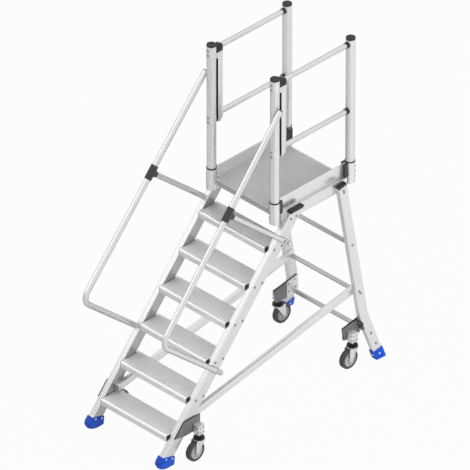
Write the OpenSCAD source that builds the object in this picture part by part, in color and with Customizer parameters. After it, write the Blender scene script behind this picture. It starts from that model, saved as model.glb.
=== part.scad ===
// Podium step: a mobile platform stair of aluminium profiles with guard rails,
// two handrails, splayed rear legs and four sprung castors beside plastic feet.
// X is the width, Y runs from the stair to the rear, Z is up and the floor is Z = 0.

/* [Stair] */
// Height of one step
rise = 205; // [195:1:220]
// Distance from one tread edge to the next along Y
going = 177; // [168:1:190]
// Length of a tread between the side profiles
tread_length = 600; // [500:5:700]
// Depth of a tread
tread_depth = 168; // [158:1:178]
// Height of the front lip of a tread
tread_lip = 46; // [42:1:50]
// Thickness of the tread's top plate
tread_skin = 5; // [4:0.5:6]
// Thickness of the plastic caps on the tread ends
tread_cap_t = 3; // [2:0.5:5]

/* [Side profiles] */
// Width of a side profile
stringer_w = 42; // [38:1:48]
// Depth of a side profile, square to the slope
stringer_d = 85; // [80:1:92]
// Wall of the side profiles, legs and braces
profile_wall = 3; // [2:0.5:4]
// Distance of the side profile's front face behind the line of the tread edges
nose_setback = 25; // [20:1:30]
// Width of a brace
brace_w = 30; // [26:1:36]
// Height of a brace
brace_h = 50; // [44:1:54]

/* [Platform] */
// Depth of the deck
deck_depth = 615; // [580:5:700]
// Thickness of the deck
deck_t = 40; // [36:1:44]
// Lead of the deck's front edge over the line of the tread edges
deck_lead = 59; // [54:1:64]
// Height of the toe boards above the deck
toe_rise = 88; // [80:1:110]
// Thickness of the toe boards
toe_t = 6; // [4:0.5:8]
// Width of the side beams
beam_w = 20; // [18:1:24]
// Height of the side beams
beam_h = 80; // [74:1:90]

/* [Guard rails] */
// Height of the post tops above the deck
guard_height = 1025; // [1000:5:1150]
// Diameter of the posts
post_d = 62; // [58:1:64]
// Wall of the posts
post_wall = 3; // [2:0.5:4]
// Diameter of the guard rails
rail_d = 34; // [30:1:36]
// Distance of the top rail's axis below the post tops
rail_drop = 45; // [40:1:60]
// Distance of the knee rail's axis below the top rail's axis
knee_drop = 500; // [450:5:540]
// Wall of the post sockets
socket_wall = 3; // [2.5:0.5:4]
// Length of the post sockets
socket_length = 156; // [140:1:170]

/* [Handrails] */
// Diameter of the handrails
hand_d = 38; // [34:1:42]
// Distance of the handrail's axis from the front face of the side profile
hand_height = 605; // [570:5:640]
// Radius of the handrail's bend at its axis
bend_r = 75; // [65:1:85]
// Wall of the handrails and struts
hand_wall = 2.5; // [2:0.5:3]
// Diameter of the struts
strut_d = 36; // [30:1:38]

/* [Rear legs] */
// Width of a leg
leg_w = 36; // [34:1:42]
// Depth of a leg
leg_d = 72; // [68:1:80]
// Backward lean of the legs in degrees
leg_lean = 10.45; // [9:0.05:12]
// Outward splay of the legs' lower ends in degrees
leg_splay = 17.6; // [15:0.1:19]
// Height at which the splay begins
kink_z = 310; // [300:1:325]
// Diameter of the rear rungs
rung_d = 30; // [28:1:34]

/* [Castors] */
// Diameter of the wheels
wheel_d = 140; // [134:1:144]
// Width of the wheels
wheel_w = 40; // [36:1:43]
// Distance of the wheel axle from the swivel axis
trail = 35; // [30:1:40]
// Width of the spring housings
housing_w = 54; // [52:1:58]
// Height of the feet above the floor while nobody stands on the stair
foot_lift = 26; // [22:1:28]

/* [Feet] */
// Wall of the plastic feet
boot_wall = 5; // [4:0.5:7]
// Radius of the front feet's toe
toe_r = 46; // [40:1:50]

/* [Hidden] */
$fn = 48;

// Overrun of cuts
over = 1;
// Clearance of pieces that are pushed together
fit = 0.2;
// Radial clearance of shafts that turn or slide
run_fit = 0.05;
// Gap between faces that turn past each other
face_gap = 0.4;

// Slope of the stair, its levels and the sides of the side profiles
tread_count = 6;
rake = atan2(rise, going);
half_in = tread_length / 2;
half_out = half_in + stringer_w;
deck_z = rise * (tread_count + 1);
front_back = nose_setback;
rear_back = nose_setback + stringer_d;
// Front top edge of a tread, counted from the top
function nose(i) = [going * (tread_count - i), rise * (tread_count + 1 - i)];
// Y on a line along the slope, at a height and a distance behind the tread edges
function rake_y(z, back) = (z - rise) * going / rise + back / sin(rake);
// Point at a distance up the slope and a distance behind the tread edges
function rake_point(along, back) =
    [along * cos(rake) + back * sin(rake), rise + along * sin(rake) - back * cos(rake)];

// Side profile: square cut at the foot, level cut under the deck's edge
stringer_foot_z = 62;
stringer_top_drop = 20;
stringer_top_z = deck_z - stringer_top_drop;
foot_along = (stringer_foot_z - rise + front_back * cos(rake)) / sin(rake);
cap_t = 15;
cap_plug = 18;

// Tread section: ribs on top, two lips and the ports that take the screws
tread_half = half_in - tread_cap_t;
rib_pitch = 9;
rib_gap = 3;
rib_depth = 1.6;
rib_margin = 12;
lip_t = 6;
lip_groove = 4;
lip_groove_depth = 2;
lip_groove_drops = [15, 31];
rear_lip = 24;
port_d = 21;
port_drop = 15;
port_front = 44;
port_rear = 112;

// Bolts
bolt_d = 8;
bolt_hole_d = bolt_d + 2 * fit;
bolt_head_d = 15;
bolt_head_h = 5;
bolt_bite = 12;
head_room = 0.5;
tread_bolt_bite = 26;

// Platform: from the side profiles inwards come beam, toe board and deck
beam_in = half_in - beam_w;
toe_in = beam_in - toe_t;
beam_top_drop = 15;
beam_top_z = deck_z - beam_top_drop;
beam_bottom_z = beam_top_z - beam_h;
beam_wall = 3;
deck_front_y = nose(0)[0] - deck_lead;
deck_rear_y = deck_front_y + deck_depth;
deck_bottom_z = deck_z - deck_t;
deck_skin = 6;
deck_rim = 14;
cross_h = 36;
cross_w = 40;
cross_inset = 97;
toe_front_inset = 25;
toe_rear_over = 14;
toe_front_y = deck_front_y + toe_front_inset;
toe_rear_y = deck_rear_y + toe_rear_over;

// Posts stand in sockets at the platform's corners
post_inset = 16;
post_lead = 14;
post_trail = 54;
post_x = half_in - post_inset;
post_front_y = deck_front_y - post_lead;
post_rear_y = deck_rear_y + post_trail;
post_top_z = deck_z + guard_height;
post_cap_t = 10;
post_cap_lip = 1.5;
flute_count = 12;
flute_r = 1.5;
socket_bore = post_d + 2 * fit;
socket_d = socket_bore + 2 * socket_wall;
socket_over = 86;
socket_floor = 6;
socket_top_z = deck_z + socket_over;
socket_bottom_z = socket_top_z - socket_length;
socket_ring_h = 8;
connector_l = 38;
connector_drop = 8;
notch_gap = 4;
notch_half = post_x - socket_d / 2 - notch_gap;

// Guard rails: a channel behind each front post carries their front ends
rail_z = post_top_z - rail_drop;
knee_z = rail_z - knee_drop;
upright_d = 42;
upright_w = 36;
upright_wall = 3;
upright_gap = 13;
upright_front_y = post_front_y + post_d / 2 + upright_gap;
upright_rear_y = upright_front_y + upright_d;
elbow_over = 25;
elbow_h = 95;
elbow_r = 22;
upright_top_z = rail_z + elbow_over - elbow_h;
upright_tail = 57;
upright_bottom_z = knee_z - upright_tail;
upright_chamfer = 26;
strip_w = 14;
bush_l = 16;
bush_wall = 4;
rail_rear_y = post_rear_y - post_d / 2;
post_bolt_gap = 35;
post_bolt_rise = 6;

// Handrails: a run up the slope that leans in to the post, a bend and a return
// that lies on the outer side of the side profile
hand_seat = 3;
hand_low_x = half_out + hand_d / 2 - hand_seat;
hand_high_x = post_x + post_d / 2 + hand_d / 2 + fit;
hand_low_along = 516;
hand_back = front_back - hand_height;
hand_high_along = (post_front_y - hand_back * sin(rake)) / cos(rake);
hand_run = hand_high_along - hand_low_along;
hand_turn = asin((hand_low_x - hand_high_x) / hand_run);
return_over = 8;
return_l = hand_height + stringer_d + return_over;
return_plug = 120;
clamp_along_share = 0.56;
clamp_l = 100;
clamp_d = hand_d + 12;
clamp_stub = 48;
clamp_stub_d = strut_d + 8;
clamp_run = hand_run * clamp_along_share;
clamp_x = hand_low_x - clamp_run * sin(hand_turn);
strut_low_x = half_out + strut_d / 2 - hand_seat;
strut_over = 26;
strut_l = hand_height + stringer_d + strut_over;
strut_turn = asin((strut_low_x - clamp_x) / strut_l);
plug_t = 5;
plug_in = 18;
end_bolt_gap = 34;

// Rear legs, in a frame that leans with them and has its origin at the foot
leg_in = half_in;
leg_out = leg_in + leg_w;
leg_top_drop = 43;
leg_top_z = deck_z - leg_top_drop;
leg_top_inset = 59;
leg_foot_y = deck_rear_y - leg_top_inset + leg_top_z * tan(leg_lean);
leg_floor = 16;
leg_top_l = leg_top_z / cos(leg_lean);
leg_kink_l = kink_z / cos(leg_lean);
rear_boot_h = 66;
function leg_y(z) = leg_foot_y - z * tan(leg_lean);
function leg_front_y(z) = leg_y(z) - leg_d / 2 / cos(leg_lean);
// Outward shift of the splayed part at a height along the leg
function splay_x(l) = max(0, (leg_kink_l - l) * tan(leg_splay));

// Rungs between the legs, by height
rung_wall = 3;
rung_plug = 24;
rung_z = [907, 497, 180];

// Braces between the side profiles and the legs, on their inner sides
brace_low_z = 232;
brace_high_z = 522;
brace_lap = 38;
brace_tail = 14;
brace_low_y = rake_y(brace_low_z, rear_back) - brace_lap;
brace_high_y = leg_y(brace_high_z) + brace_tail;
brace_angle = atan2(brace_high_z - brace_low_z, brace_high_y - brace_low_y);
brace_l = norm([brace_high_y - brace_low_y, brace_high_z - brace_low_z]);

// Front feet: a shoe with a round toe over the lower end of the side profile
boot_front_z = 90;
boot_rear_z = 60;
heel_in = 5;
heel_z = 6;
toe_y = rake_y(toe_r, front_back - boot_wall) + toe_r;
boot_rear_y = rake_y(boot_rear_z, rear_back + boot_wall);
toe_steps = 12;

// Castors: order of the lists is front left, front right, rear left, rear right
plate_t = 8;
plate_edge = 6;
plate_top_z = 284;
plate_low_z = 190;
plate_base_z = 174;
plate_front = 1;
plate_lead = 40;
plate_slant = 18;
front_castor_y = 213;
rear_castor_reach = 88;
rear_castor_y = leg_front_y((plate_top_z + plate_base_z) / 2) - rear_castor_reach;
rear_plate_in = 3;
rear_plate_x = leg_in + rear_plate_in;
castor_offset = plate_t + housing_w / 2;
corner_names = ["front_left", "front_right", "rear_left", "rear_right"];
castor_x = [
    -half_out - castor_offset,
    half_out + castor_offset,
    -rear_plate_x - castor_offset,
    rear_plate_x + castor_offset
];
castor_y = [front_castor_y, front_castor_y, rear_castor_y, rear_castor_y];
castor_turn = [180, 0, 180, 0];
flange_low_z = 226;
flange_over = 22;
wheel_r = wheel_d / 2;
crown_gap = 6;
crown_t = 7;
crown_low_z = wheel_d + crown_gap;
crown_top_z = crown_low_z + crown_t;
blade_gap = 4;
blade_t = 4;
blade_in = wheel_w / 2 + blade_gap;
blade_out = blade_in + blade_t;
blade_top = 30;
blade_boss_d = 30;
axle_d = 10;
axle_head_d = 18;
axle_head_h = 5;
head_d = 74;
head_low_z = crown_top_z + face_gap;
head_t = 10;
head_top_z = head_low_z + head_t;
kingpin_d = 16;
kingpin_head_d = 26;
kingpin_head_h = 4;
stop_gap = 2;
housing_low_z = head_top_z + foot_lift + stop_gap;
housing_h = 69;
housing_top_z = housing_low_z + housing_h;
housing_wall = 5;
housing_edge = 4;
housing_roof = 8;
housing_bore = housing_w - 2 * housing_wall;
cup_d = housing_bore - 2 * run_fit;
cup_h = 18;
cup_top_z = housing_low_z + cup_h;
spring_top_z = housing_top_z - housing_roof;
spring_d = 40;
spring_wall = 6;
rod_d = spring_d - 2 * spring_wall - 2 * crown_gap;
rod_top_z = spring_top_z - foot_lift - crown_gap;
tyre_edge = 6;
hub_recess = 6;
hub_rim = 20;
hub_boss_d = 32;

// Middle of the whole along Y, which the model is placed on
front_y = toe_y - toe_r;
rear_y = leg_foot_y + (leg_d / 2 + boot_wall) / cos(leg_lean);
mid_y = (front_y + rear_y) / 2;

// Placing
module home() translate([0, -mid_y, foot_lift]) children();
module side(s) {
    if (s < 0) mirror([1, 0, 0]) children();
    else children();
}
module sides() {
    side(1) children();
    side(-1) children();
}
// Outline in Y and Z, drawn out along X
module across(x0, x1) {
    translate([x0, 0, 0]) rotate([90, 0, 90]) linear_extrude(x1 - x0) children();
}
module leg_frame() translate([0, leg_foot_y, 0]) rotate([leg_lean, 0, 0]) children();
module slope_frame(p, x) translate([x, p[0], p[1]]) rotate([rake, 0, 0]) children();
module tube(d, wall, l) {
    difference() {
        cylinder(d = d, h = l);
        translate([0, 0, -over]) cylinder(d = d - 2 * wall, h = l + 2 * over);
    }
}

// Bolt along Z with its seat at zero and its head above
module bolt(l, d, head) {
    translate([0, 0, -l]) cylinder(d = d, h = l);
    if (head) cylinder(d = bolt_head_d, h = bolt_head_h, $fn = 6);
}
module bolts_x(list, d, head) {
    for (b = list) translate([b[0], b[1], b[2]]) rotate([0, 90, 0]) bolt(b[3], d, head);
}
// Room for the heads of bolts along X
module head_cuts(list) {
    for (b = list) translate([b[0], b[1], b[2]]) rotate([0, 90, 0])
        cylinder(d = bolt_head_d + 2 * head_room, h = hand_d);
}

// Bolts of the right-hand side along X: seat, place and length
tread_bolt_l = stringer_w + tread_cap_t + tread_bolt_bite;
tread_bolt_places = [
    for (i = [1 : tread_count]) for (y = [port_front, port_rear])
        [half_out, nose(i)[0] + y, nose(i)[1] - port_drop, tread_bolt_l]
];
beam_bolt_z = beam_bottom_z + beam_h / 2;
beam_bolt_y = rake_y(beam_bolt_z, (front_back + rear_back) / 2);
beam_bolt_gap = 24;
leg_bolt_gap = 18;
leg_bolt_top = leg_top_z - cap_plug - bolt_d;
leg_bolt_z = [leg_bolt_top - leg_bolt_gap, leg_bolt_top];
brace_bolt_in = 22;
brace_low_bolt = [brace_low_y + brace_bolt_in, brace_low_z + brace_bolt_in * tan(brace_angle)];
brace_high_bolt = [brace_high_y - brace_bolt_in, brace_high_z - brace_bolt_in * tan(brace_angle)];
plate_bolt_z = (plate_low_z + plate_top_z) / 2;
plate_bolt_y = rake_y(plate_bolt_z, front_back + plate_front + bolt_head_d);
side_bolts = [
    [half_out, beam_bolt_y - beam_bolt_gap, beam_bolt_z, stringer_w + beam_wall + bolt_bite],
    [half_out, beam_bolt_y + beam_bolt_gap, beam_bolt_z, stringer_w + beam_wall + bolt_bite],
    [leg_out, leg_y(leg_bolt_z[0]), leg_bolt_z[0], leg_w + beam_wall + bolt_bite],
    [leg_out, leg_y(leg_bolt_z[1]), leg_bolt_z[1], leg_w + beam_wall + bolt_bite],
    [leg_out, leg_y(rung_z[0]), rung_z[0], leg_w + bolt_bite],
    [leg_out, leg_y(rung_z[1]), rung_z[1], leg_w + bolt_bite],
    [leg_out, brace_high_bolt[0], brace_high_bolt[1], leg_w + bolt_bite],
    [half_out + plate_t, brace_low_bolt[0], brace_low_bolt[1], plate_t + stringer_w + bolt_bite],
    [half_out + plate_t, plate_bolt_y, plate_bolt_z, plate_t + bolt_bite]
];
// Bolts that hold the handrail's return and the strut on the side profile
return_bolt_l = hand_d - hand_seat + profile_wall + bolt_bite;
end_backs = [rear_back - end_bolt_gap - bolt_head_d, rear_back - bolt_head_d];
end_alongs = [hand_low_along, hand_low_along + clamp_run];
end_bolts = [
    for (a = end_alongs) for (b = end_backs)
        let (p = rake_point(a, b)) [half_out + hand_d - 2 * hand_seat, p[0], p[1], return_bolt_l]
];
post_bolt_zs = [
    rail_z + post_bolt_rise, rail_z + post_bolt_rise - post_bolt_gap, knee_z, knee_z - post_bolt_gap
];
// Bolts on the front side of the front posts
module post_bolts(d, head) {
    for (z = post_bolt_zs)
        translate([post_x, post_front_y - post_d / 2, z])
            rotate([90, 0, 0]) bolt(post_wall + bolt_bite, d, head);
}
// Bolts of the rear castor brackets, square to the legs' front faces
flange_bolt_l = (flange_low_z + plate_top_z) / 2 / cos(leg_lean);
flange_bolt_out = 9.5;
module flange_bolts(d, head) {
    for (i = [-1, 1])
        leg_frame()
            translate([
                leg_in + leg_w / 2 + splay_x(flange_bolt_l + i * bolt_head_d) - i * flange_bolt_out,
                -leg_d / 2 - plate_t,
                flange_bolt_l + i * bolt_head_d
            ])
                rotate([90, 0, 0]) bolt(plate_t + bolt_bite, d, head);
}

// Side profile outline with its sides drawn in and its ends drawn out
function stringer_outline(inset, more) = [
    rake_point(foot_along - more, front_back + inset),
    rake_point(foot_along - more, rear_back - inset),
    [rake_y(stringer_top_z + more, rear_back - inset), stringer_top_z + more],
    [rake_y(stringer_top_z + more, front_back + inset), stringer_top_z + more]
];
module stringer_block() across(half_in, half_out) polygon(stringer_outline(0, 0));
module stringer_bore() {
    across(half_in + profile_wall, half_out - profile_wall)
        polygon(stringer_outline(profile_wall, over));
}
module stringer(s) {
    color("gainsboro") home() side(s) difference() {
        stringer_block();
        stringer_bore();
        bolts_x(tread_bolt_places, bolt_hole_d, false);
        bolts_x(side_bolts, bolt_hole_d, false);
        bolts_x(end_bolts, bolt_hole_d, false);
    }
}

// Row of ribs cut into a top face, as outline points from the rear to the front
function ribs(depth, pitch, gap, cut, margin) = [
    for (i = [floor((depth - 2 * margin) / pitch) : -1 : 0])
        for (q = [[gap, 0], [gap, -cut], [0, -cut], [0, 0]])
            [margin + i * pitch + q[0], q[1]]
];
module tread_section() {
    difference() {
        union() {
            polygon(concat(
                [[0, -tread_lip], [lip_t, -tread_lip], [lip_t, -tread_skin]],
                [[tread_depth - lip_t, -tread_skin], [tread_depth - lip_t, -rear_lip]],
                [[tread_depth, -rear_lip], [tread_depth, 0]],
                ribs(tread_depth, rib_pitch, rib_gap, rib_depth, rib_margin),
                [[0, 0]],
                [for (drop = lip_groove_drops) each [
                    [0, -drop], [lip_groove_depth, -drop],
                    [lip_groove_depth, -drop - lip_groove], [0, -drop - lip_groove]
                ]]
            ));
            for (y = [port_front, port_rear]) translate([y, -port_drop]) circle(d = port_d);
        }
        for (y = [port_front, port_rear]) translate([y, -port_drop]) circle(d = bolt_hole_d);
    }
}
module tread(i) {
    color("silver") home() translate([0, nose(i)[0], nose(i)[1]])
        across(-tread_half, tread_half) tread_section();
}
module tread_end_caps() {
    outline = [[0, 0], [tread_depth, 0], [tread_depth, -rear_lip], [0, -tread_lip]];
    color("black") home() sides() difference() {
        for (i = [1 : tread_count])
            translate([0, nose(i)[0], nose(i)[1]]) across(tread_half, half_in) polygon(outline);
        bolts_x(tread_bolt_places, bolt_hole_d, false);
    }
}
module tread_bolts() color("dimgray") home() sides() bolts_x(tread_bolt_places, bolt_d, true);

// Plastic plugs on the upper ends of the side profiles and the legs
module stringer_cap() {
    z0 = stringer_top_z;
    z1 = stringer_top_z + cap_t;
    zp = stringer_top_z - cap_plug;
    w = profile_wall + fit;
    across(half_in, half_out) polygon([
        [rake_y(z0, front_back), z0], [rake_y(z0, rear_back), z0],
        [rake_y(z1, rear_back), z1], [rake_y(z1, front_back), z1]
    ]);
    across(half_in + w, half_out - w) polygon([
        [rake_y(zp, front_back + w), zp], [rake_y(zp, rear_back - w), zp],
        [rake_y(z0, rear_back - w), z0], [rake_y(z0, front_back + w), z0]
    ]);
}
module leg_cap() {
    w = profile_wall + fit;
    leg_frame() {
        translate([leg_in, -leg_d / 2, leg_top_l]) cube([leg_w, leg_d, cap_t]);
        translate([leg_in + w, w - leg_d / 2, leg_top_l - cap_plug])
            cube([leg_w - 2 * w, leg_d - 2 * w, cap_plug]);
    }
}
module profile_caps() {
    color("black") home() sides() {
        stringer_cap();
        leg_cap();
    }
}

// Feet
module front_feet() {
    arc = [
        for (i = [0 : toe_steps]) let (a = 180 + 90 * i / toe_steps)
            [toe_y + toe_r * cos(a), toe_r + toe_r * sin(a)]
    ];
    outline = concat(arc, [
        [boot_rear_y - 2 * heel_in, 0], [boot_rear_y - heel_in, heel_z], [boot_rear_y, boot_rear_z],
        [rake_y(boot_front_z, front_back - boot_wall), boot_front_z]
    ]);
    color("royalblue") home() sides() difference() {
        across(half_in - boot_wall, half_out + boot_wall) polygon(outline);
        stringer_block();
    }
}
// Leg outline in the leaning frame, grown by a wall, from one height to another
function leg_outline(wall, low, high) = [
    [leg_in - wall, high], [leg_out + wall, high],
    [leg_out + wall + splay_x(min(high, leg_kink_l)), min(high, leg_kink_l)],
    [leg_out + wall + splay_x(low), low], [leg_in - wall + splay_x(low), low],
    [leg_in - wall + splay_x(min(high, leg_kink_l)), min(high, leg_kink_l)]
];
module leg_prism(points, depth) {
    rotate([90, 0, 0]) linear_extrude(depth, center = true) polygon(points);
}
module leg_solid() leg_frame() leg_prism(leg_outline(0, leg_floor, leg_top_l), leg_d);
module rear_feet() {
    low = -leg_floor;
    outline = [
        [leg_in - boot_wall + splay_x(rear_boot_h), rear_boot_h],
        [leg_out + boot_wall + splay_x(rear_boot_h), rear_boot_h],
        [leg_out + boot_wall + splay_x(low), low], [leg_in - boot_wall + splay_x(low), low]
    ];
    color("royalblue") home() sides() difference() {
        leg_frame() leg_prism(outline, leg_d + 2 * boot_wall);
        leg_solid();
        translate([0, leg_foot_y - leg_d, -2 * leg_d]) cube([2 * half_out, 2 * leg_d, 2 * leg_d]);
    }
}

// Platform
module deck() {
    color("silver") home() difference() {
        translate([0, deck_front_y, deck_z]) across(-toe_in, toe_in) polygon(concat(
            [[0, -deck_t], [deck_rim, -deck_t], [deck_rim, -deck_skin]],
            [[deck_depth - deck_rim, -deck_skin], [deck_depth - deck_rim, -deck_t]],
            [[deck_depth, -deck_t], [deck_depth, 0]],
            ribs(deck_depth, rib_pitch, rib_gap, rib_depth, rib_margin),
            [[0, 0]]
        ));
        for (s = [-1, 1]) side(s)
            translate([notch_half, deck_front_y - over, deck_bottom_z - over])
                cube([toe_in, toe_front_inset + over, deck_t + 2 * over]);
    }
}
module cross_beams() {
    color("silver") home()
        for (y = [deck_front_y + cross_inset, deck_rear_y - cross_inset - cross_w])
            translate([-beam_in, y, deck_bottom_z - cross_h]) cube([2 * beam_in, cross_w, cross_h]);
}
module side_beam(s) {
    color("gainsboro") home() side(s) difference() {
        translate([beam_in, toe_front_y, beam_bottom_z])
            cube([beam_w, toe_rear_y - toe_front_y, beam_h]);
        translate([beam_in + beam_wall, toe_front_y - over, beam_bottom_z + beam_wall])
            cube([
                beam_w - 2 * beam_wall,
                toe_rear_y - toe_front_y + 2 * over,
                beam_h - 2 * beam_wall
            ]);
        bolts_x(side_bolts, bolt_hole_d, false);
    }
}
module toe_boards() {
    color("gainsboro") home() sides()
        translate([toe_in, toe_front_y, deck_bottom_z])
            cube([toe_t, toe_rear_y - toe_front_y, deck_t + toe_rise]);
}

// Posts, sockets and what joins them to the platform
module post_section() {
    difference() {
        circle(d = post_d);
        circle(d = post_d - 2 * post_wall);
        for (i = [1 : flute_count])
            rotate(360 * (i - 1 / 2) / flute_count)
                translate([post_d / 2, 0]) circle(r = flute_r);
    }
}
module post(s, y) {
    z0 = socket_bottom_z + socket_floor;
    color("gainsboro") home() side(s) difference() {
        translate([post_x, y, z0]) linear_extrude(post_top_z - post_cap_t - z0) post_section();
        post_bolts(bolt_hole_d, false);
    }
}
module corners() {
    home() sides() for (y = [post_front_y, post_rear_y]) translate([post_x, y, 0]) children();
}
module post_sockets() {
    color("gainsboro") corners() difference() {
        translate([0, 0, socket_bottom_z]) cylinder(d = socket_d, h = socket_length);
        translate([0, 0, socket_bottom_z + socket_floor]) cylinder(d = socket_bore, h = socket_length);
    }
}
module socket_rings() {
    color("black") corners() translate([0, 0, socket_top_z])
        tube(socket_d, socket_wall, socket_ring_h);
}
module post_caps() {
    color("black") corners() {
        translate([0, 0, post_top_z - post_cap_t]) cylinder(d = post_d + post_cap_lip, h = post_cap_t);
        translate([0, 0, post_top_z - post_cap_t - cap_plug])
            cylinder(d = post_d - 2 * post_wall - 2 * fit, h = cap_plug);
    }
}
module corner_connectors() {
    h = toe_rise + beam_top_drop - connector_drop;
    color("dimgray") home() sides() difference() {
        union() {
            translate([beam_in, toe_front_y - connector_l / 2, beam_top_z]) cube([beam_w, connector_l, h]);
            translate([beam_in, toe_rear_y - connector_l / 2, beam_top_z]) cube([beam_w, connector_l, h]);
        }
        for (y = [post_front_y, post_rear_y])
            translate([post_x, y, socket_bottom_z]) cylinder(d = socket_d, h = socket_length + over);
    }
}

// Guard rails
module rails(z) {
    color("gainsboro") home() sides()
        translate([post_x, upright_rear_y, z]) rotate([-90, 0, 0])
            tube(rail_d, post_wall, rail_rear_y - upright_rear_y);
}
module rail_bushes() {
    color("black") home() sides() difference() {
        for (z = [rail_z, knee_z]) translate([post_x, rail_rear_y - bush_l, z]) rotate([-90, 0, 0])
            cylinder(d = rail_d + 2 * bush_wall, h = bush_l + post_d / 4);
        for (z = [rail_z, knee_z]) translate([post_x, rail_rear_y - bush_l - over, z]) rotate([-90, 0, 0])
            cylinder(d = rail_d, h = bush_l + post_d);
        translate([post_x, post_rear_y, knee_z - post_d])
            cylinder(d = post_d, h = knee_drop + 2 * post_d);
    }
}
module guard_uprights() {
    h = upright_top_z - upright_bottom_z;
    color("gainsboro") home() sides() difference() {
        translate([0, upright_front_y, upright_bottom_z])
            across(post_x - upright_w / 2, post_x + upright_w / 2)
                polygon([
                    [0, 0], [upright_d - upright_chamfer, 0], [upright_d, upright_chamfer],
                    [upright_d, h], [0, h]
                ]);
        translate([post_x - upright_w / 2 + upright_wall, upright_front_y - over, upright_bottom_z - over])
            cube([upright_w - 2 * upright_wall, upright_d - upright_wall + over, h + 2 * over]);
    }
}
module post_cut() {
    translate([post_x, post_front_y, upright_bottom_z - over])
        cylinder(d = post_d, h = post_top_z - upright_bottom_z);
}
module upright_strips() {
    y0 = post_front_y + post_d / 4;
    color("black") home() sides() difference() {
        translate([post_x - strip_w / 2, y0, upright_bottom_z])
            cube([strip_w, upright_rear_y - upright_wall - y0, upright_top_z - upright_bottom_z]);
        translate([0, upright_rear_y - upright_chamfer - upright_wall, 0])
            cube([half_out, upright_d, upright_bottom_z + upright_chamfer]);
        post_cut();
    }
}
module rail_elbows() {
    y0 = post_front_y + post_d / 4;
    color("black") home() sides() difference() {
        translate([0, upright_rear_y - elbow_r, upright_top_z + elbow_h - elbow_r])
            across(post_x - upright_w / 2, post_x + upright_w / 2) {
                circle(r = elbow_r);
                translate([y0 - upright_rear_y + elbow_r, elbow_r - elbow_h])
                    square([upright_rear_y - elbow_r - y0, elbow_h]);
                translate([0, elbow_r - elbow_h]) square([elbow_r, elbow_h - elbow_r]);
            }
        post_cut();
    }
}

// Handrails
module hand_frame() {
    slope_frame(rake_point(hand_low_along, hand_back), hand_low_x)
        rotate([0, 0, hand_turn]) children();
}
module hand_path(d, more) {
    translate([0, bend_r, 0]) rotate([-90, 0, 0]) cylinder(d = d, h = hand_run - bend_r + more);
    translate([0, bend_r, -bend_r]) rotate([90, 0, 90]) rotate([0, 0, 90])
        rotate_extrude(angle = 90) translate([bend_r, 0]) circle(d = d);
}
module handrail(s) {
    color("gainsboro") home() side(s) difference() {
        hand_frame() {
            hand_path(hand_d, 0);
            translate([0, 0, -return_l]) cylinder(d = hand_d, h = return_l - bend_r);
            translate([0, 0, -return_l]) sphere(d = hand_d);
        }
        hand_frame() {
            hand_path(hand_d - 2 * hand_wall, over);
            translate([0, 0, return_plug - return_l])
                cylinder(d = hand_d - 2 * hand_wall, h = return_l - return_plug - bend_r);
        }
        stringer_block();
        end_bolt_cuts();
    }
}
// Seats and holes of the bolts at the tubes' lower ends
module end_bolt_cuts() {
    bolts_x(end_bolts, bolt_hole_d, false);
    head_cuts(end_bolts);
}
module strut_frame() {
    slope_frame(rake_point(hand_low_along + clamp_run, hand_back), clamp_x)
        rotate([0, -strut_turn, 0]) children();
}
module handrail_struts() {
    color("gainsboro") home() sides() difference() {
        strut_frame() {
            translate([0, 0, -strut_l]) cylinder(d = strut_d, h = strut_l - clamp_stub);
            translate([0, 0, -strut_l]) sphere(d = strut_d);
        }
        strut_frame() translate([0, 0, return_plug - strut_l])
            cylinder(d = strut_d - 2 * hand_wall, h = strut_l - return_plug - clamp_stub + over);
        stringer_block();
        end_bolt_cuts();
    }
}
module handrail_clamps() {
    color("black") home() sides() difference() {
        union() {
            hand_frame() translate([0, clamp_run - clamp_l / 2, 0]) rotate([-90, 0, 0])
                cylinder(d = clamp_d, h = clamp_l);
            strut_frame() translate([0, 0, -clamp_stub]) cylinder(d = clamp_stub_d, h = clamp_stub);
        }
        hand_frame() translate([0, clamp_run - clamp_l, 0]) rotate([-90, 0, 0])
            cylinder(d = hand_d, h = 2 * clamp_l);
    }
}
module handrail_plugs() {
    color("black") home() sides() hand_frame() translate([0, hand_run, 0]) rotate([-90, 0, 0]) {
        cylinder(d = hand_d, h = plug_t);
        translate([0, 0, -plug_in]) cylinder(d = hand_d - 2 * hand_wall - 2 * fit, h = plug_in);
    }
}

// Bolts of the frame
module frame_bolts() {
    color("dimgray") home() sides() {
        bolts_x(side_bolts, bolt_d, true);
        bolts_x(end_bolts, bolt_d, true);
        post_bolts(bolt_d, true);
    }
    color("dimgray") home() sides() flange_bolts(bolt_d, true);
}

// Rear legs, rungs and braces
module rear_leg(s) {
    color("gainsboro") home() side(s) difference() {
        leg_solid();
        leg_frame()
            leg_prism(
                leg_outline(-profile_wall, leg_floor - over, leg_top_l + over),
                leg_d - 2 * profile_wall
            );
        bolts_x(side_bolts, bolt_hole_d, false);
        flange_bolts(bolt_hole_d, false);
    }
}
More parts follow.
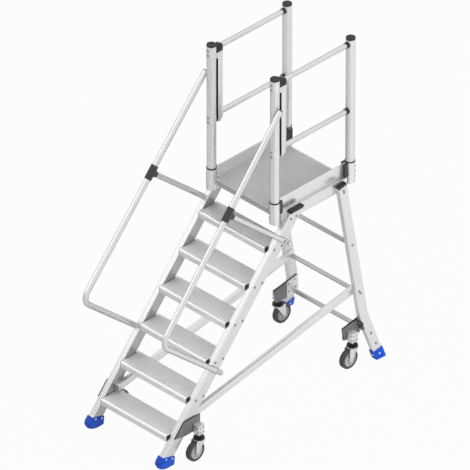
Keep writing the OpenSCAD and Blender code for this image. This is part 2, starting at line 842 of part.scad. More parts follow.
// Round bar along X at a rung's height
module rung_rod(z, half, d) {
    translate([-half, leg_y(z), z]) rotate([0, 90, 0]) cylinder(d = d, h = 2 * half);
}
module rear_rungs() {
    color("silver") home() difference() {
        for (z = rung_z) {
            half = leg_in + splay_x(z / cos(leg_lean));
            difference() {
                rung_rod(z, half + leg_w / 2, rung_d);
                rung_rod(z, half - rung_plug, rung_d - 2 * rung_wall);
            }
        }
        sides() leg_solid();
        sides() bolts_x(side_bolts, bolt_hole_d, false);
        sides() brace_block();
    }
}
module brace_block() {
    translate([leg_in - brace_w, brace_low_y, brace_low_z]) rotate([brace_angle, 0, 0])
        translate([0, 0, -brace_h / 2]) cube([brace_w, brace_l, brace_h]);
}
module braces() {
    color("gainsboro") home() sides() difference() {
        brace_block();
        translate([leg_in - brace_w, brace_low_y, brace_low_z]) rotate([brace_angle, 0, 0])
            translate([profile_wall, -over, profile_wall - brace_h / 2])
                cube([brace_w - 2 * profile_wall, brace_l + 2 * over, brace_h - 2 * profile_wall]);
        bolts_x(side_bolts, bolt_hole_d, false);
    }
}

// Castors: plates on the frame, housings on the plates, and what springs, swivels and rolls
module front_plate() {
    y1 = front_castor_y + housing_w / 2 + 2 * plate_edge;
    across(half_out, half_out + plate_t) polygon([
        [rake_y(plate_low_z, front_back + plate_front), plate_low_z],
        [rake_y(plate_base_z, rear_back - plate_front), plate_base_z],
        [y1, plate_base_z], [y1, plate_top_z],
        [rake_y(plate_top_z, front_back + plate_front), plate_top_z]
    ]);
}
// Plate beside a rear castor with a flange on the leg's front face
module rear_plate() {
    y0 = rear_castor_y - housing_w / 2 - plate_lead;
    flange_w = leg_w + flange_over - rear_plate_in;
    union() {
        across(rear_plate_x, rear_plate_x + plate_t) polygon([
            [y0 + plate_slant, plate_base_z], [leg_front_y(plate_base_z), plate_base_z],
            [leg_front_y(plate_top_z), plate_top_z], [y0, plate_top_z - 2 * plate_edge]
        ]);
        leg_frame()
            translate([rear_plate_x, -leg_d / 2 - plate_t, flange_low_z / cos(leg_lean)])
                cube([flange_w, plate_t, (plate_top_z - flange_low_z) / cos(leg_lean)]);
    }
}
module castor_brackets() {
    color("gray") home() {
        sides() difference() {
            front_plate();
            bolts_x(side_bolts, bolt_hole_d, false);
            head_cuts(tread_bolt_places);
        }
        sides() difference() {
            rear_plate();
            flange_bolts(bolt_hole_d, false);
        }
    }
}
module at_castor(i) home() translate([castor_x[i], castor_y[i], -foot_lift]) children();
module castor_housings() {
    a = housing_w / 2;
    b = a - housing_edge;
    color("lightgray") for (i = [0 : 3]) at_castor(i) translate([0, 0, housing_low_z]) difference() {
        linear_extrude(housing_h)
            polygon([[a, b], [b, a], [-b, a], [-a, b], [-a, -b], [-b, -a], [b, -a], [a, -b]]);
        translate([0, 0, -over]) cylinder(d = housing_bore, h = housing_h - housing_roof + over);
    }
}
module spring(i) {
    color("dimgray") at_castor(i) translate([0, 0, cup_top_z])
        tube(spring_d, spring_wall, spring_top_z - cup_top_z);
}
module stem(i) {
    color("black") at_castor(i) {
        translate([0, 0, head_low_z]) cylinder(d = head_d, h = head_t);
        translate([0, 0, head_low_z]) cylinder(d = cup_d, h = cup_top_z - head_low_z);
        translate([0, 0, head_low_z]) cylinder(d = rod_d, h = rod_top_z - head_low_z);
        translate([0, 0, crown_low_z - face_gap]) cylinder(d = kingpin_d, h = head_t);
        translate([0, 0, crown_low_z - face_gap - kingpin_head_h])
            cylinder(d = kingpin_head_d, h = kingpin_head_h);
    }
}
module blade_outline() {
    polygon([
        [-blade_top, crown_top_z], [blade_top, crown_top_z], [blade_top, crown_low_z],
        [blade_boss_d / 2 - trail, wheel_r], [-trail - blade_boss_d / 2, wheel_r],
        [-blade_top - blade_boss_d / 2, crown_low_z]
    ]);
    translate([-trail, wheel_r]) circle(d = blade_boss_d);
}
module fork(i) {
    color("silver") at_castor(i) rotate(castor_turn[i]) difference() {
        union() {
            translate([0, 0, crown_low_z]) cylinder(d = head_d - 2 * blade_t, h = crown_t);
            for (s = [-1, 1]) side(s) {
                across(blade_in, blade_out) blade_outline();
                translate([0, -trail, wheel_r]) rotate([0, 90, 0]) {
                    translate([0, 0, wheel_w / 2 + face_gap]) cylinder(d = axle_head_d, h = blade_gap);
                    translate([0, 0, blade_out]) cylinder(d = axle_head_d, h = axle_head_h, $fn = 6);
                }
            }
            translate([-blade_out, -trail, wheel_r])
                rotate([0, 90, 0]) cylinder(d = axle_d, h = 2 * blade_out);
        }
        translate([0, 0, crown_low_z - over]) cylinder(d = kingpin_d + 2 * run_fit, h = crown_t + 2 * over);
    }
}
module wheel(i) {
    half = wheel_w / 2;
    color("dimgray") at_castor(i) rotate(castor_turn[i])
        translate([0, -trail, wheel_r]) rotate([0, 90, 0]) rotate_extrude() polygon([
            [axle_d / 2 + run_fit, -half], [hub_boss_d / 2, -half], [hub_boss_d / 2, hub_recess - half],
            [wheel_r - hub_rim, hub_recess - half], [wheel_r - hub_rim, -half], [wheel_r - tyre_edge, -half],
            [wheel_r, tyre_edge - half], [wheel_r, half - tyre_edge], [wheel_r - tyre_edge, half],
            [wheel_r - hub_rim, half], [wheel_r - hub_rim, half - hub_recess],
            [hub_boss_d / 2, half - hub_recess], [hub_boss_d / 2, half], [axle_d / 2 + run_fit, half]
        ]);
}

stringer(-1);  // stringer_left
stringer(1);  // stringer_right
for (i = [1 : tread_count]) tread(i);
tread_end_caps();
tread_bolts();
profile_caps();
front_feet();
rear_feet();
deck();
cross_beams();
side_beam(-1);  // side_beam_left
side_beam(1);  // side_beam_right
toe_boards();
post(-1, post_front_y);  // post_front_left
post(1, post_front_y);  // post_front_right
post(-1, post_rear_y);  // post_rear_left
post(1, post_rear_y);  // post_rear_right
post_sockets();
socket_rings();
post_caps();
corner_connectors();
rails(rail_z);  // top_rails
rails(knee_z);  // knee_rails
rail_bushes();
guard_uprights();
upright_strips();
rail_elbows();
handrail(-1);  // handrail_left
handrail(1);  // handrail_right
handrail_struts();
handrail_clamps();
handrail_plugs();
frame_bolts();
rear_leg(-1);  // rear_leg_left
rear_leg(1);  // rear_leg_right
rear_rungs();
braces();
castor_brackets();
castor_housings();
for (i = [0 : 3]) spring(i);
for (i = [0 : 3]) stem(i);
for (i = [0 : 3]) fork(i);
for (i = [0 : 3]) wheel(i);
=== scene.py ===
import math

import bmesh
import bpy
import numpy as np
from mathutils import Matrix, Vector


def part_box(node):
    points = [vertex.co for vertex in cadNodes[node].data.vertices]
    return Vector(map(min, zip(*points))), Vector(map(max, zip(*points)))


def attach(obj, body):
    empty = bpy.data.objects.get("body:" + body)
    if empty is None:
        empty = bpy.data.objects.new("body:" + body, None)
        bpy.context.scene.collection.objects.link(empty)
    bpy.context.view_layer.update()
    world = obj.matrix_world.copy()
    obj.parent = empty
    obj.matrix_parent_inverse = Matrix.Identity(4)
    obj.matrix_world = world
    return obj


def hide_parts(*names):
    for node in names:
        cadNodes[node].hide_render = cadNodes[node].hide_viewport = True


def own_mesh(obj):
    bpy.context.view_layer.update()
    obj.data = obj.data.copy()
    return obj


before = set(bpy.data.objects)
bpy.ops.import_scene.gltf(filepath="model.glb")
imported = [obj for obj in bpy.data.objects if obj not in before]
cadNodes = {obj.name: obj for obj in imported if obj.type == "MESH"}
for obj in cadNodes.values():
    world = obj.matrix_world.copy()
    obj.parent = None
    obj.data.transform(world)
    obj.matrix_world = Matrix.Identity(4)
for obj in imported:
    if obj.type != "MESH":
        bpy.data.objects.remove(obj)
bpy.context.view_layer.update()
scene = bpy.context.scene
scene.view_settings.view_transform = "Standard"
print("frame loaded:", len(cadNodes), "nodes")

# sizes of the stair that several pieces follow, in metres
stair = {
    "midY": 0.873284,  # the model is centred on this depth
    "lift": 0.026,  # the feet hang this high while the castors carry the stair
    "rise": 0.205,
    "going": 0.177,
    "halfIn": 0.300,  # inner face of a side profile
    "treadCount": 6,
}
rake = math.atan2(stair["rise"], stair["going"])
castorCorners = ("front_left", "front_right", "rear_left", "rear_right")
leftAndRight = (-1, 1)


def treadNose(i):
    # depth and height of a tread's front top edge, counted from the top
    count = stair["treadCount"]
    y = stair["going"] * (count - i) - stair["midY"]
    return y, stair["rise"] * (count + 1 - i) + stair["lift"]


def rakeY(z, back):
    # depth at a height, on a line that lies this far behind the tread edges
    climb = z - stair["lift"] - stair["rise"]
    return climb * stair["going"] / stair["rise"] + back / math.sin(rake) - stair["midY"]


# camera
cameraLook = {
    "eye": (44.990, -45.041, 43.782), "tilt": 56.234, "turn": 44.94,
    "lens": 919.15, "sensor": 36, "near": 1, "far": 400,
}
cam = bpy.data.objects.new("viewCamera", bpy.data.cameras.new("viewCamera"))
scene.collection.objects.link(cam)
cam.location = cameraLook["eye"]
cam.rotation_euler = (math.radians(cameraLook["tilt"]), 0, math.radians(cameraLook["turn"]))
cam.data.lens = cameraLook["lens"]
cam.data.sensor_width = cameraLook["sensor"]
cam.data.clip_start = cameraLook["near"]
cam.data.clip_end = cameraLook["far"]
scene.camera = cam
print("camera set")


# short calls for shader and geometry trees
class NodeKit:
    def __init__(self, tree):
        self.tree = tree

    def plug(self, socket, value):
        # another node's socket is linked, any other value is set
        if hasattr(value, "links"):
            self.tree.links.new(value, socket)
        else:
            socket.default_value = value

    def add(self, kind, inputs=None, **settings):
        node = self.tree.nodes.new(kind)
        for key, value in settings.items():
            setattr(node, key, value)
        for key, value in (inputs or {}).items():
            self.plug(node.inputs[key], value)
        return node

    def math(self, how, a, b):
        return self.add("ShaderNodeMath", {0: a, 1: b}, operation=how).outputs[0]

    def ramp(self, value, low, high, a, b, curve="LINEAR"):
        # value between low and high becomes a to b
        return self.add("ShaderNodeMapRange", {
            "Value": value, "From Min": low, "From Max": high, "To Min": a, "To Max": b,
        }, interpolation_type=curve).outputs["Result"]

    def blend(self, fac, a, b):
        # number between a and b
        return self.add("ShaderNodeMix", {0: fac, 2: a, 3: b}).outputs[0]

    def split(self, vector):
        return self.add("ShaderNodeSeparateXYZ", {0: vector}).outputs


# light, floor and background
studio = {
    "centre": (0, 0, 1.1), "far": 10.0,
    "keyAim": (0.85, 0.10, 0.35), "keyPower": 400, "keySize": 5.0,
    "fillAim": (-0.59, -0.64, 0.50), "fillPower": 85, "fillSize": 6.0,
    "ambient": 0.34, "walls": 0.84, "ceiling": 1.0, "ceilingSpan": (0.15, 0.60),
    "floorEdge": 60, "floorZ": -0.0005, "floorTone": 0.55, "floorWhite": 0.97,
    "floorDim": 0.74, "floorBright": 0.97, "floorSpan": 1.4,
}


def softLamp(name, aim, size, power):
    lamp = bpy.data.lights.new(name, "AREA")
    lamp.shape = "DISK"
    lamp.size = size
    lamp.energy = power
    obj = bpy.data.objects.new(name, lamp)
    scene.collection.objects.link(obj)
    way = Vector(aim).normalized()
    obj.location = Vector(studio["centre"]) + way * studio["far"]
    obj.rotation_euler = way.to_track_quat("Z", "Y").to_euler()
    return obj


def seenOrMirrored(kit):
    # 1 for rays that show the background, 0 for rays that light the object
    path = kit.add("ShaderNodeLightPath").outputs
    seen = kit.math("MAXIMUM", path["Is Camera Ray"], path["Is Glossy Ray"])
    return kit.math("MAXIMUM", seen, path["Is Transmission Ray"])


def whiteInView(kit, level):
    # full brightness for the view itself
    return kit.blend(kit.add("ShaderNodeLightPath").outputs["Is Camera Ray"], level, 1.0)


def makeRoom():
    world = bpy.data.worlds.new("paleRoom")
    scene.world = world
    world.use_nodes = True
    kit = NodeKit(world.node_tree)
    back = world.node_tree.nodes["Background"]
    back.inputs["Color"].default_value = (1, 1, 1, 1)
    # metal mirrors a bright ceiling and greyer walls, the view itself shows white
    height = kit.split(kit.add("ShaderNodeTexCoord").outputs["Generated"])["Z"]
    shown = kit.ramp(height, *studio["ceilingSpan"], studio["walls"], studio["ceiling"],
                     "SMOOTHSTEP")
    level = kit.blend(seenOrMirrored(kit), studio["ambient"], shown)
    kit.plug(back.inputs["Strength"], whiteInView(kit, level))


def makeFloor():
    edge, z = studio["floorEdge"], studio["floorZ"]
    mesh = bpy.data.meshes.new("floor")
    mesh.from_pydata([(-edge, -edge, z), (edge, -edge, z), (edge, edge, z), (-edge, edge, z)],
                     [], [(0, 1, 2, 3)])
    floor = bpy.data.objects.new("floor", mesh)
    scene.collection.objects.link(floor)
    paint = bpy.data.materials.new("paleFloor")
    paint.use_nodes = True
    paint.node_tree.nodes.clear()
    kit = NodeKit(paint.node_tree)
    # metal mirrors a floor that grows brighter towards the lamp's side
    at = kit.split(kit.add("ShaderNodeTexCoord").outputs["Object"])
    span = studio["floorSpan"]
    slope = kit.ramp(kit.math("ADD", at["X"], at["Y"]), -span, span,
                     studio["floorDim"], studio["floorBright"])
    glow = kit.add("ShaderNodeEmission", {"Strength": whiteInView(kit, slope)})
    matt = kit.add("ShaderNodeBsdfDiffuse", {"Color": (studio["floorTone"],) * 3 + (1,)})
    share = kit.math("MULTIPLY", seenOrMirrored(kit), studio["floorWhite"])
    mix = kit.add("ShaderNodeMixShader", {0: share, 1: matt.outputs[0], 2: glow.outputs[0]})
    kit.add("ShaderNodeOutputMaterial", {"Surface": mix.outputs[0]})
    mesh.materials.append(paint)


key = softLamp("keyLamp", studio["keyAim"], studio["keySize"], studio["keyPower"])
key.visible_glossy = False  # flat metal would mirror it as a white patch from the side
softLamp("fillLamp", studio["fillAim"], studio["fillSize"], studio["fillPower"])
makeRoom()
makeFloor()
print("studio lit")


# finishes
class Finish(NodeKit):
    # a material with its tree, and the nodes that the finishes share
    def __init__(self, name, look):
        self.look = look
        self.mat = bpy.data.materials.new(name)
        self.mat.use_nodes = True
        super().__init__(self.mat.node_tree)
        self.skin = self.tree.nodes["Principled BSDF"]
        places = self.add("ShaderNodeTexCoord").outputs
        self.where, self.normal = places["Object"], places["Normal"]

    def turned(self, turn=(0, 0, 0), scale=(1, 1, 1)):
        # turns first and stretches afterwards, which one node would do the other way round
        turning = self.add("ShaderNodeMapping", {"Vector": self.where, "Rotation": turn})
        stretch = self.add("ShaderNodeMapping", {"Vector": turning.outputs[0], "Scale": scale})
        return stretch.outputs[0]

    def noise(self, part, at=None):
        scale, detail, rough = self.look[part + "Noise"]
        return self.add("ShaderNodeTexNoise", {
            "Vector": at or self.where, "Scale": scale, "Detail": detail, "Roughness": rough,
        }).outputs["Fac"]

    def bands(self, direction, pitch, profile):
        # stripes across a direction, this far apart
        return self.add("ShaderNodeTexWave", {
            "Vector": self.where, "Scale": math.pi / 10 / pitch, "Distortion": 0.0,
        }, wave_type="BANDS", bands_direction=direction, wave_profile=profile).outputs["Fac"]

    def mix(self, fac, a, b):
        # colours a and b are plain tuples or sockets
        a, b = (c + (1,) if isinstance(c, tuple) else c for c in (a, b))
        return self.add("ShaderNodeMix", {0: fac, 6: a, 7: b}, data_type="RGBA").outputs[2]

    def bump(self, height, strength, distance, under=None):
        node = self.add("ShaderNodeBump", {"Height": height, "Strength": strength,
                                           "Distance": distance})
        if under:
            self.plug(node.inputs["Normal"], under)
        return node.outputs["Normal"]

    def flag(self, name):
        # a number that the piece's faces carry, 0 where they don't
        return self.add("ShaderNodeAttribute", attribute_name=name).outputs["Fac"]

    def worn(self, colour, other):
        # another colour on the rounded edges
        share = self.ramp(self.flag("edge"), 0, 1, 0, self.look["edgeShare"])
        return self.mix(share, colour, other)

    def shades(self, part, noise, tones, tint):
        # from one tone to the other as the noise rises
        tones = (grey(tone, tint) for tone in tones)
        return self.mix(self.ramp(noise, *self.look[part + "Span"], 0, 1), *tones)

    def cover(self, colour, part, noise, tone, tint=0.0):
        # a share of another tone where the noise runs from low to high
        low, high, share, level = self.look[part]
        return self.mix(self.ramp(noise, low, high, 0, share), colour, grey(tone * level, tint))

    def close(self, colour, gloss, relief, under=None, nose=None):
        # ends a finish: one noise sets its gloss, one its relief; noses are smooth bare metal
        look = self.look
        metal = look["metallic"]
        rough = self.ramp(gloss, *look.get("roughSpan", usualSpan), *look["rough"])
        if nose:
            metal = self.ramp(nose, 0, 1, metal, look["noseMetal"])
            rough = self.blend(nose, rough, look["noseRough"])
        for key, value in (("Base Color", colour), ("Metallic", metal), ("Roughness", rough),
                           ("Normal", self.bump(relief, *look["bump"], under))):
            self.plug(self.skin.inputs[key], value)
        return self.mat


def grey(tone, tint=0.0):
    return (tone * (1 - tint), tone, tone * (1 + tint))


# a noise is scale, detail and roughness; a span its low and high; a cover adds share and tone
usualSpan = (0.3, 0.7)
blueTint = {"faint": 0.004, "drawn": 0.006, "plate": 0.008, "stain": 0.01, "coat": 0.02}
aluminiumLook = {
    "light": 0.92, "dark": 0.83, "metallic": 0.75, "rim": 0.45, "rough": (0.24, 0.36),
    "streak": (5, 420, 420), "streakNoise": (1.0, 5, 0.62), "streakSpan": (0.34, 0.68),
    "bump": (0.05, 0.0004), "stainNoise": (7.0, 3, 0.55), "stain": (0.52, 0.80, 0.20, 0.90),
    "webShadeTone": 0.56, "edgeTone": 0.97, "edgeShare": 0.8,
}
tubeLook = dict(aluminiumLook, light=0.84, dark=0.75, metallic=0.85, rim=0.15, rough=(0.20, 0.30))
postLook = dict(tubeLook, light=0.95, dark=0.88, metallic=0.70, rim=0.30)
handrailLook = dict(tubeLook, light=0.87, dark=0.79, rim=0.18, rough=(0.22, 0.32))
legLook = dict(aluminiumLook, light=0.95, dark=0.90, metallic=0.40)
rungLook = dict(aluminiumLook, light=0.66, dark=0.56, rim=0.15, rough=(0.40, 0.52))


def drawnAluminium(name, turn, look=aluminiumLook, tone=1.0):
    # drawn profile: fine streaks along its length, faint stains, brighter rubbed edges, and painted
    # shade on a flagged inner web
    f = Finish(name, look)
    dark, light = look["dark"] * tone, look["light"] * tone
    streak = f.noise("streak", f.turned(turn, look["streak"]))
    colour = f.shades("streak", streak, (dark, light), blueTint["drawn"])
    colour = f.cover(colour, "stain", f.noise("stain"), dark, blueTint["stain"])
    # painted shade: flagged inner webs take a darker tone
    colour = f.mix(f.flag("web"), colour, grey(look["webShadeTone"] * tone, blueTint["faint"]))
    colour = f.worn(colour, grey(look["edgeTone"], blueTint["faint"]))
    f.plug(f.skin.inputs["Specular Tint"], grey(look["rim"]) + (1,))
    return f.close(colour, streak, streak)


treadLook = {
    "light": 0.98, "dark": 0.92, "metallic": 0.62, "rough": (0.38, 0.56), "roughSpan": (0.35, 0.7),
    "notchPitch": 0.02829, "bump": (0.35, 0.0006),
    "gritNoise": (900.0, 3, 0.55), "gritSpan": (0.30, 0.72), "gritBump": (0.12, 0.0003),
    "patchNoise": (5.5, 4, 0.55), "patchStretch": (1, 1.6, 1), "patch": (0.48, 0.72, 0.28, 0.86),
    "fleckNoise": (120.0, 2, 0.55), "fleck": (0.46, 0.62, 0.35, 0.80),
    "dotPitch": 0.0180, "dotSpan": (0.25, 0.80), "dotShare": 0.20, "dotTone": 0.62,
    "topSpan": (0.80, 0.95), "side": None,
    "noseTone": 0.98, "noseMetal": 0.92, "noseRough": 0.24,
}
# the deck's side entry paints shade on its steeper faces
deckLook = dict(treadLook, light=0.97, dark=0.84, metallic=0.42, rough=(0.42, 0.60),
                dotPitch=0.0200, dotShare=0.95, side=(0.70, 0.30, 0.8, 0.62), noseTone=None)


def grippedAluminium(name, look=treadLook):
    # ribbed walking surface: notches, rows of small dark dots, dull patches, bright noses; where
    # the look asks for it, painted shade on faces turned away from upward
    f = Finish(name, look)
    dark, nose = look["dark"], None
    grit = f.noise("grit")
    patch = f.noise("patch", f.turned(scale=look["patchStretch"]))
    up = f.split(f.normal)["Z"]
    dots = f.math("MULTIPLY", *(f.bands(way, look["dotPitch"], "SIN") for way in "XY"))
    dots = f.math("MULTIPLY", f.ramp(dots, *look["dotSpan"], 0, look["dotShare"]),
                  f.ramp(up, *look["topSpan"], 0, 1))
    colour = f.mix(f.ramp(grit, *look["gritSpan"], 0, 1), grey(dark),
                   grey(look["light"], blueTint["faint"]))
    colour = f.cover(colour, "patch", patch, dark)
    colour = f.cover(colour, "fleck", f.noise("fleck"), dark)
    colour = f.mix(dots, colour, grey(dark * look["dotTone"]))
    # painted shade: faces that turn away from upward are darkened
    if look["side"]:
        colour = f.cover(colour, "side", up, dark)
    if look["noseTone"]:
        nose = f.flag("polish")
        colour = f.mix(nose, colour, grey(look["noseTone"]))
    notch = f.bands("X", look["notchPitch"], "TRI")
    return f.close(colour, patch, notch, f.bump(grit, *look["gritBump"]), nose)


plasticLook = {
    "metallic": 0.0, "rough": (0.44, 0.58), "bump": (0.16, 0.0003), "grainNoise": (1400.0, 2, 0.55),
    "cloudNoise": (16.0, 4, 0.55), "cloudSpan": (0.35, 0.70), "tones": (0.86, 1.12),
    "scuffNoise": (90.0, 6, 0.7), "scuffStretch": (1, 1, 3), "scuffSpan": (0.66, 0.78),
    "scuffShare": 0.35, "edgeShare": 0.7,
}


def mouldedPlastic(name, colour, worn, look=plasticLook):
    # moulded plastic: fine spark grain, slight shade of tone, paler scuffed edges
    f = Finish(name, look)
    cloud = f.noise("cloud")
    scuff = f.noise("scuff", f.turned(scale=look["scuffStretch"]))
    tones = [tuple(min(1, tone * c) for c in colour) for tone in look["tones"]]
    base = f.mix(f.ramp(cloud, *look["cloudSpan"], 0, 1), *tones)
    base = f.mix(f.ramp(scuff, *look["scuffSpan"], 0, look["scuffShare"]), base, worn)
    base = f.worn(base, worn)
    return f.close(base, cloud, f.noise("grain"))


plateLook = {
    "metallic": 0.62, "rough": (0.30, 0.52), "roughSpan": (0.3, 0.75), "bump": (0.06, 0.0003),
    "tones": (0.90, 1.08), "dullNoise": (40.0, 5, 0.55), "dull": (0.55, 0.75, 0.4, 0.72),
    "edgeTone": 1.22, "edgeShare": 0.7,
}


def platedSteel(name, tone, spangle, look=plateLook):
    # zinc plate: soft crystals of slightly different tone, dulled in places
    f = Finish(name, look)
    cells = f.add("ShaderNodeTexVoronoi", {"Vector": f.where, "Scale": spangle}, feature="F1")
    shade = f.add("ShaderNodeSeparateColor", {"Color": cells.outputs["Color"]}).outputs["Red"]
    dull = f.noise("dull")
    colour = f.mix(shade, *(grey(min(1, tone * share), blueTint["plate"])
                            for share in look["tones"]))
    colour = f.cover(colour, "dull", dull, tone, blueTint["faint"])
    colour = f.worn(colour, grey(min(1, tone * look["edgeTone"])))
    return f.close(colour, dull, dull)


coatLook = {
    "tone": 0.24, "tones": (0.1968, 0.2832), "metallic": 0.25, "rough": (0.42, 0.56),
    "bump": (0.20, 0.0003), "peelNoise": (520.0, 2, 0.55),
    "cloudNoise": (14.0, 4, 0.55), "cloudSpan": (0.3, 0.72),
    "chipNoise": (160.0, 5, 0.7), "chip": (0.69, 0.76, 0.5, 1.4167),
    # the near-black edge tone is painted shade along the brackets' edges and thin rims
    "edgeTone": 0.020, "edgeShare": 1.0,
}


def coatedSteel(name, look=coatLook):
    # dark powder coat with orange peel; the black on its edges is painted shade
    f = Finish(name, look)
    cloud = f.noise("cloud")
    colour = f.shades("cloud", cloud, look["tones"], blueTint["coat"])
    colour = f.cover(colour, "chip", f.noise("chip"), look["tone"])
    colour = f.worn(colour, grey(look["edgeTone"]))
    return f.close(colour, cloud, f.noise("peel"))


castLook = {
    "tone": 0.88, "tones": (0.7568, 0.968), "metallic": 0.62, "rough": (0.36, 0.52),
    "bump": (0.22, 0.0004), "sandNoise": (700.0, 4, 0.7), "sandSpan": (0.32, 0.70),
    "cloudNoise": (22.0, 4, 0.55), "cloud": (0.52, 0.78, 0.3, 0.74),
    "edgeTone": 0.94, "edgeShare": 0.6,
}


def castAlloy(name, look=castLook):
    # blasted casting: sandy skin with duller clouds
    f = Finish(name, look)
    sand = f.noise("sand")
    colour = f.shades("sand", sand, look["tones"], blueTint["faint"])
    colour = f.cover(colour, "cloud", f.noise("cloud"), look["tone"])
    colour = f.worn(colour, grey(look["edgeTone"]))
    return f.close(colour, sand, sand)


rubberLook = {
    "tone": 0.090, "metallic": 0.0, "rough": (0.62, 0.82), "bump": (0.22, 0.0003),
    "dustNoise": (34.0, 6, 0.65), "dust": (0.42, 0.74, 0.6, 1.9), "poreNoise": (1100.0, 3, 0.55),
}


def tyreRubber(name, look=rubberLook):
    # grey rubber: dusty tread, fine pores
    f = Finish(name, look)
    dust = f.noise("dust")
    colour = f.cover(grey(look["tone"]), "dust", dust, look["tone"])
    return f.close(colour, dust, f.noise("pore"))


# turns that bring a profile's length to the streaks' direction
quarter = math.pi / 2
braceSlope = math.radians(10.26)
alongX, alongY, alongZ = (0, 0, 0), (0, 0, -quarter), (0, quarter, 0)
alongSlope, alongBrace = (-rake, 0, -quarter), (-braceSlope, 0, -quarter)
drawn = {
    "profileSlope": (alongSlope, aluminiumLook, 0.95), "profileBrace": (alongBrace,),
    "profileX": (alongX,), "profileY": (alongY,), "profileZ": (alongZ,), "legZ": (alongZ, legLook),
    "tubeSlope": (alongSlope, handrailLook), "tubeY": (alongY, tubeLook),
    "tubeZ": (alongZ, postLook), "rungX": (alongX, rungLook),
    # a darker drawn finish: painted shade for the grooves on the profile fronts
    "lineSlope": (alongSlope, rungLook, 0.8),
}
# each plastic's colour, and its colour where it is worn
moulded = {
    "black": ((0.020, 0.0205, 0.022), (0.07, 0.07, 0.073)),
    # deep is black made darker still: painted shade for parts that sit in shade
    "deep": ((0.006, 0.006, 0.0065), (0.02, 0.02, 0.021)),
    # dull is dark grey plastic, lightened to carry the sheen these parts show: partly painted
    # highlight
    "dull": ((0.060, 0.061, 0.063), (0.11, 0.11, 0.113)),
    "blue": ((0.003, 0.120, 0.95), (0.02, 0.19, 0.93)),
    "hub": ((0.68, 0.68, 0.685), (0.82, 0.82, 0.825)),
}
# each plated steel's tone and the scale of its crystals
plated = {"zinc": (0.36, 700), "fork": (0.84, 260), "spring": (0.30, 900)}
finish = {
    "gripped": grippedAluminium("grippedTread"),
    "decking": grippedAluminium("grippedDeck", deckLook),
    "coated": coatedSteel("darkCoat"),
    "cast": castAlloy("castAlloy"),
    "tyre": tyreRubber("tyreRubber"),
}
for make, ending, table in ((drawnAluminium, "", drawn), (mouldedPlastic, "Plastic", moulded),
                            (platedSteel, "Steel", plated)):
    finish.update((name, make(name + ending, *how)) for name, how in table.items())
print("finishes made:", len(finish))


# helpers for pieces
rounding = {
    "sharpFrom": math.radians(35),  # edges sharper than this are rounded
    "smoothTo": 34,  # degrees up to which faces are shaded as one
    "weld": 2e-6, "flat": math.radians(0.5), "cut": 1e-6,
}


def putPiece(name, mesh, key, slot, *nodeNames, body="frame"):
    obj = bpy.data.objects.new(name, mesh)
    scene.collection.objects.link(obj)
    if key:
        mesh.materials.clear()
        mesh.materials.append(finish[key])
    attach(obj, body)
    if nodeNames:
        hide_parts(*nodeNames)
    return obj


def meshOf(bm, name, degrees=rounding["smoothTo"], fresh=False):
    # ends a bmesh as a named mesh, shaded smooth up to an angle; fresh faces are turned outwards
    if fresh:
        bmesh.ops.recalc_face_normals(bm, faces=bm.faces)
    mesh = bpy.data.meshes.new(name)
    bm.to_mesh(mesh)
    bm.free()
    mesh.shade_smooth()
    mesh.set_sharp_from_angle(angle=math.radians(degrees))
    return mesh


def joinedCopy(nodeName):
    # the node's loose triangles joined, with flat faces made whole again
    bm = bmesh.new()
    bm.from_mesh(cadNodes[nodeName].data)
    bmesh.ops.remove_doubles(bm, verts=bm.verts, dist=rounding["weld"])
    bmesh.ops.dissolve_limit(bm, angle_limit=rounding["flat"], verts=bm.verts, edges=bm.edges)
    return bm


def sharpEdges(bm, shortest, outer=False):
    return [e for e in bm.edges
            if len(e.link_faces) == 2 and e.calc_length() > shortest
            and e.calc_face_angle() > rounding["sharpFrom"] and (e.is_convex or not outer)]


def roundEdges(bm, edges, width, steps=2, clamp=False):
    # rounds the edges and gives back the new faces
    made = bmesh.ops.bevel(bm, geom=edges, offset=width, offset_type="OFFSET", segments=steps,
                           profile=0.5, affect="EDGES", clamp_overlap=clamp)
    return made["faces"]


def splitLarge(bm):
    bmesh.ops.triangulate(bm, faces=[f for f in bm.faces if len(f.verts) > 4])


def sliceAt(bm, place, way, **clear):
    bmesh.ops.bisect_plane(bm, geom=bm.verts[:] + bm.edges[:] + bm.faces[:], dist=rounding["cut"],
                           plane_co=place, plane_no=way, **clear)


def softEdged(nodeName, key, slot, width, body="frame", shortest=0.010, steps=2, outer=False,
              rim=0.0, trim=None):
    # copy of a node with its long sharp edges rounded, which stands for the node
    bm = joinedCopy(nodeName)
    if trim:
        trim(bm)
    edge = bm.faces.layers.float.new("edge")
    # faces thinner than rim are flagged as edges too; on the dark coat this paints shade on them
    for face in bm.faces:
        if face.calc_area() < rim * max(e.calc_length() for e in face.edges):
            face[edge] = 1.0
    for face in roundEdges(bm, sharpEdges(bm, shortest, outer), width, steps, clamp=outer):
        face[edge] = 1.0
    splitLarge(bm)
    name = nodeName + "Soft"
    return putPiece(name, meshOf(bm, name), key, slot, nodeName, body=body)


def circle(steps):
    # cosine and sine at even steps of a full turn
    turns = (2 * math.pi * k / steps for k in range(steps))
    return [(math.cos(a), math.sin(a)) for a in turns]


def addSkin(bm, rings, closed=False):
    # skin over rings of points, which meets itself again or has its two ends capped
    rows = [[bm.verts.new(point) for point in ring] for ring in rings]
    for here, there in zip(rows, rows[1:] + rows[:1] if closed else rows[1:]):
        n = len(here)
        for i in range(n):
            j = (i + 1) % n
            bm.faces.new((here[i], here[j], there[j], there[i]))
    if not closed:
        bm.faces.new(rows[0])
        bm.faces.new(rows[-1])


def skinMesh(name, rings, closed=False, degrees=rounding["smoothTo"]):
    bm = bmesh.new()
    addSkin(bm, rings, closed)
    return meshOf(bm, name, degrees, fresh=True)


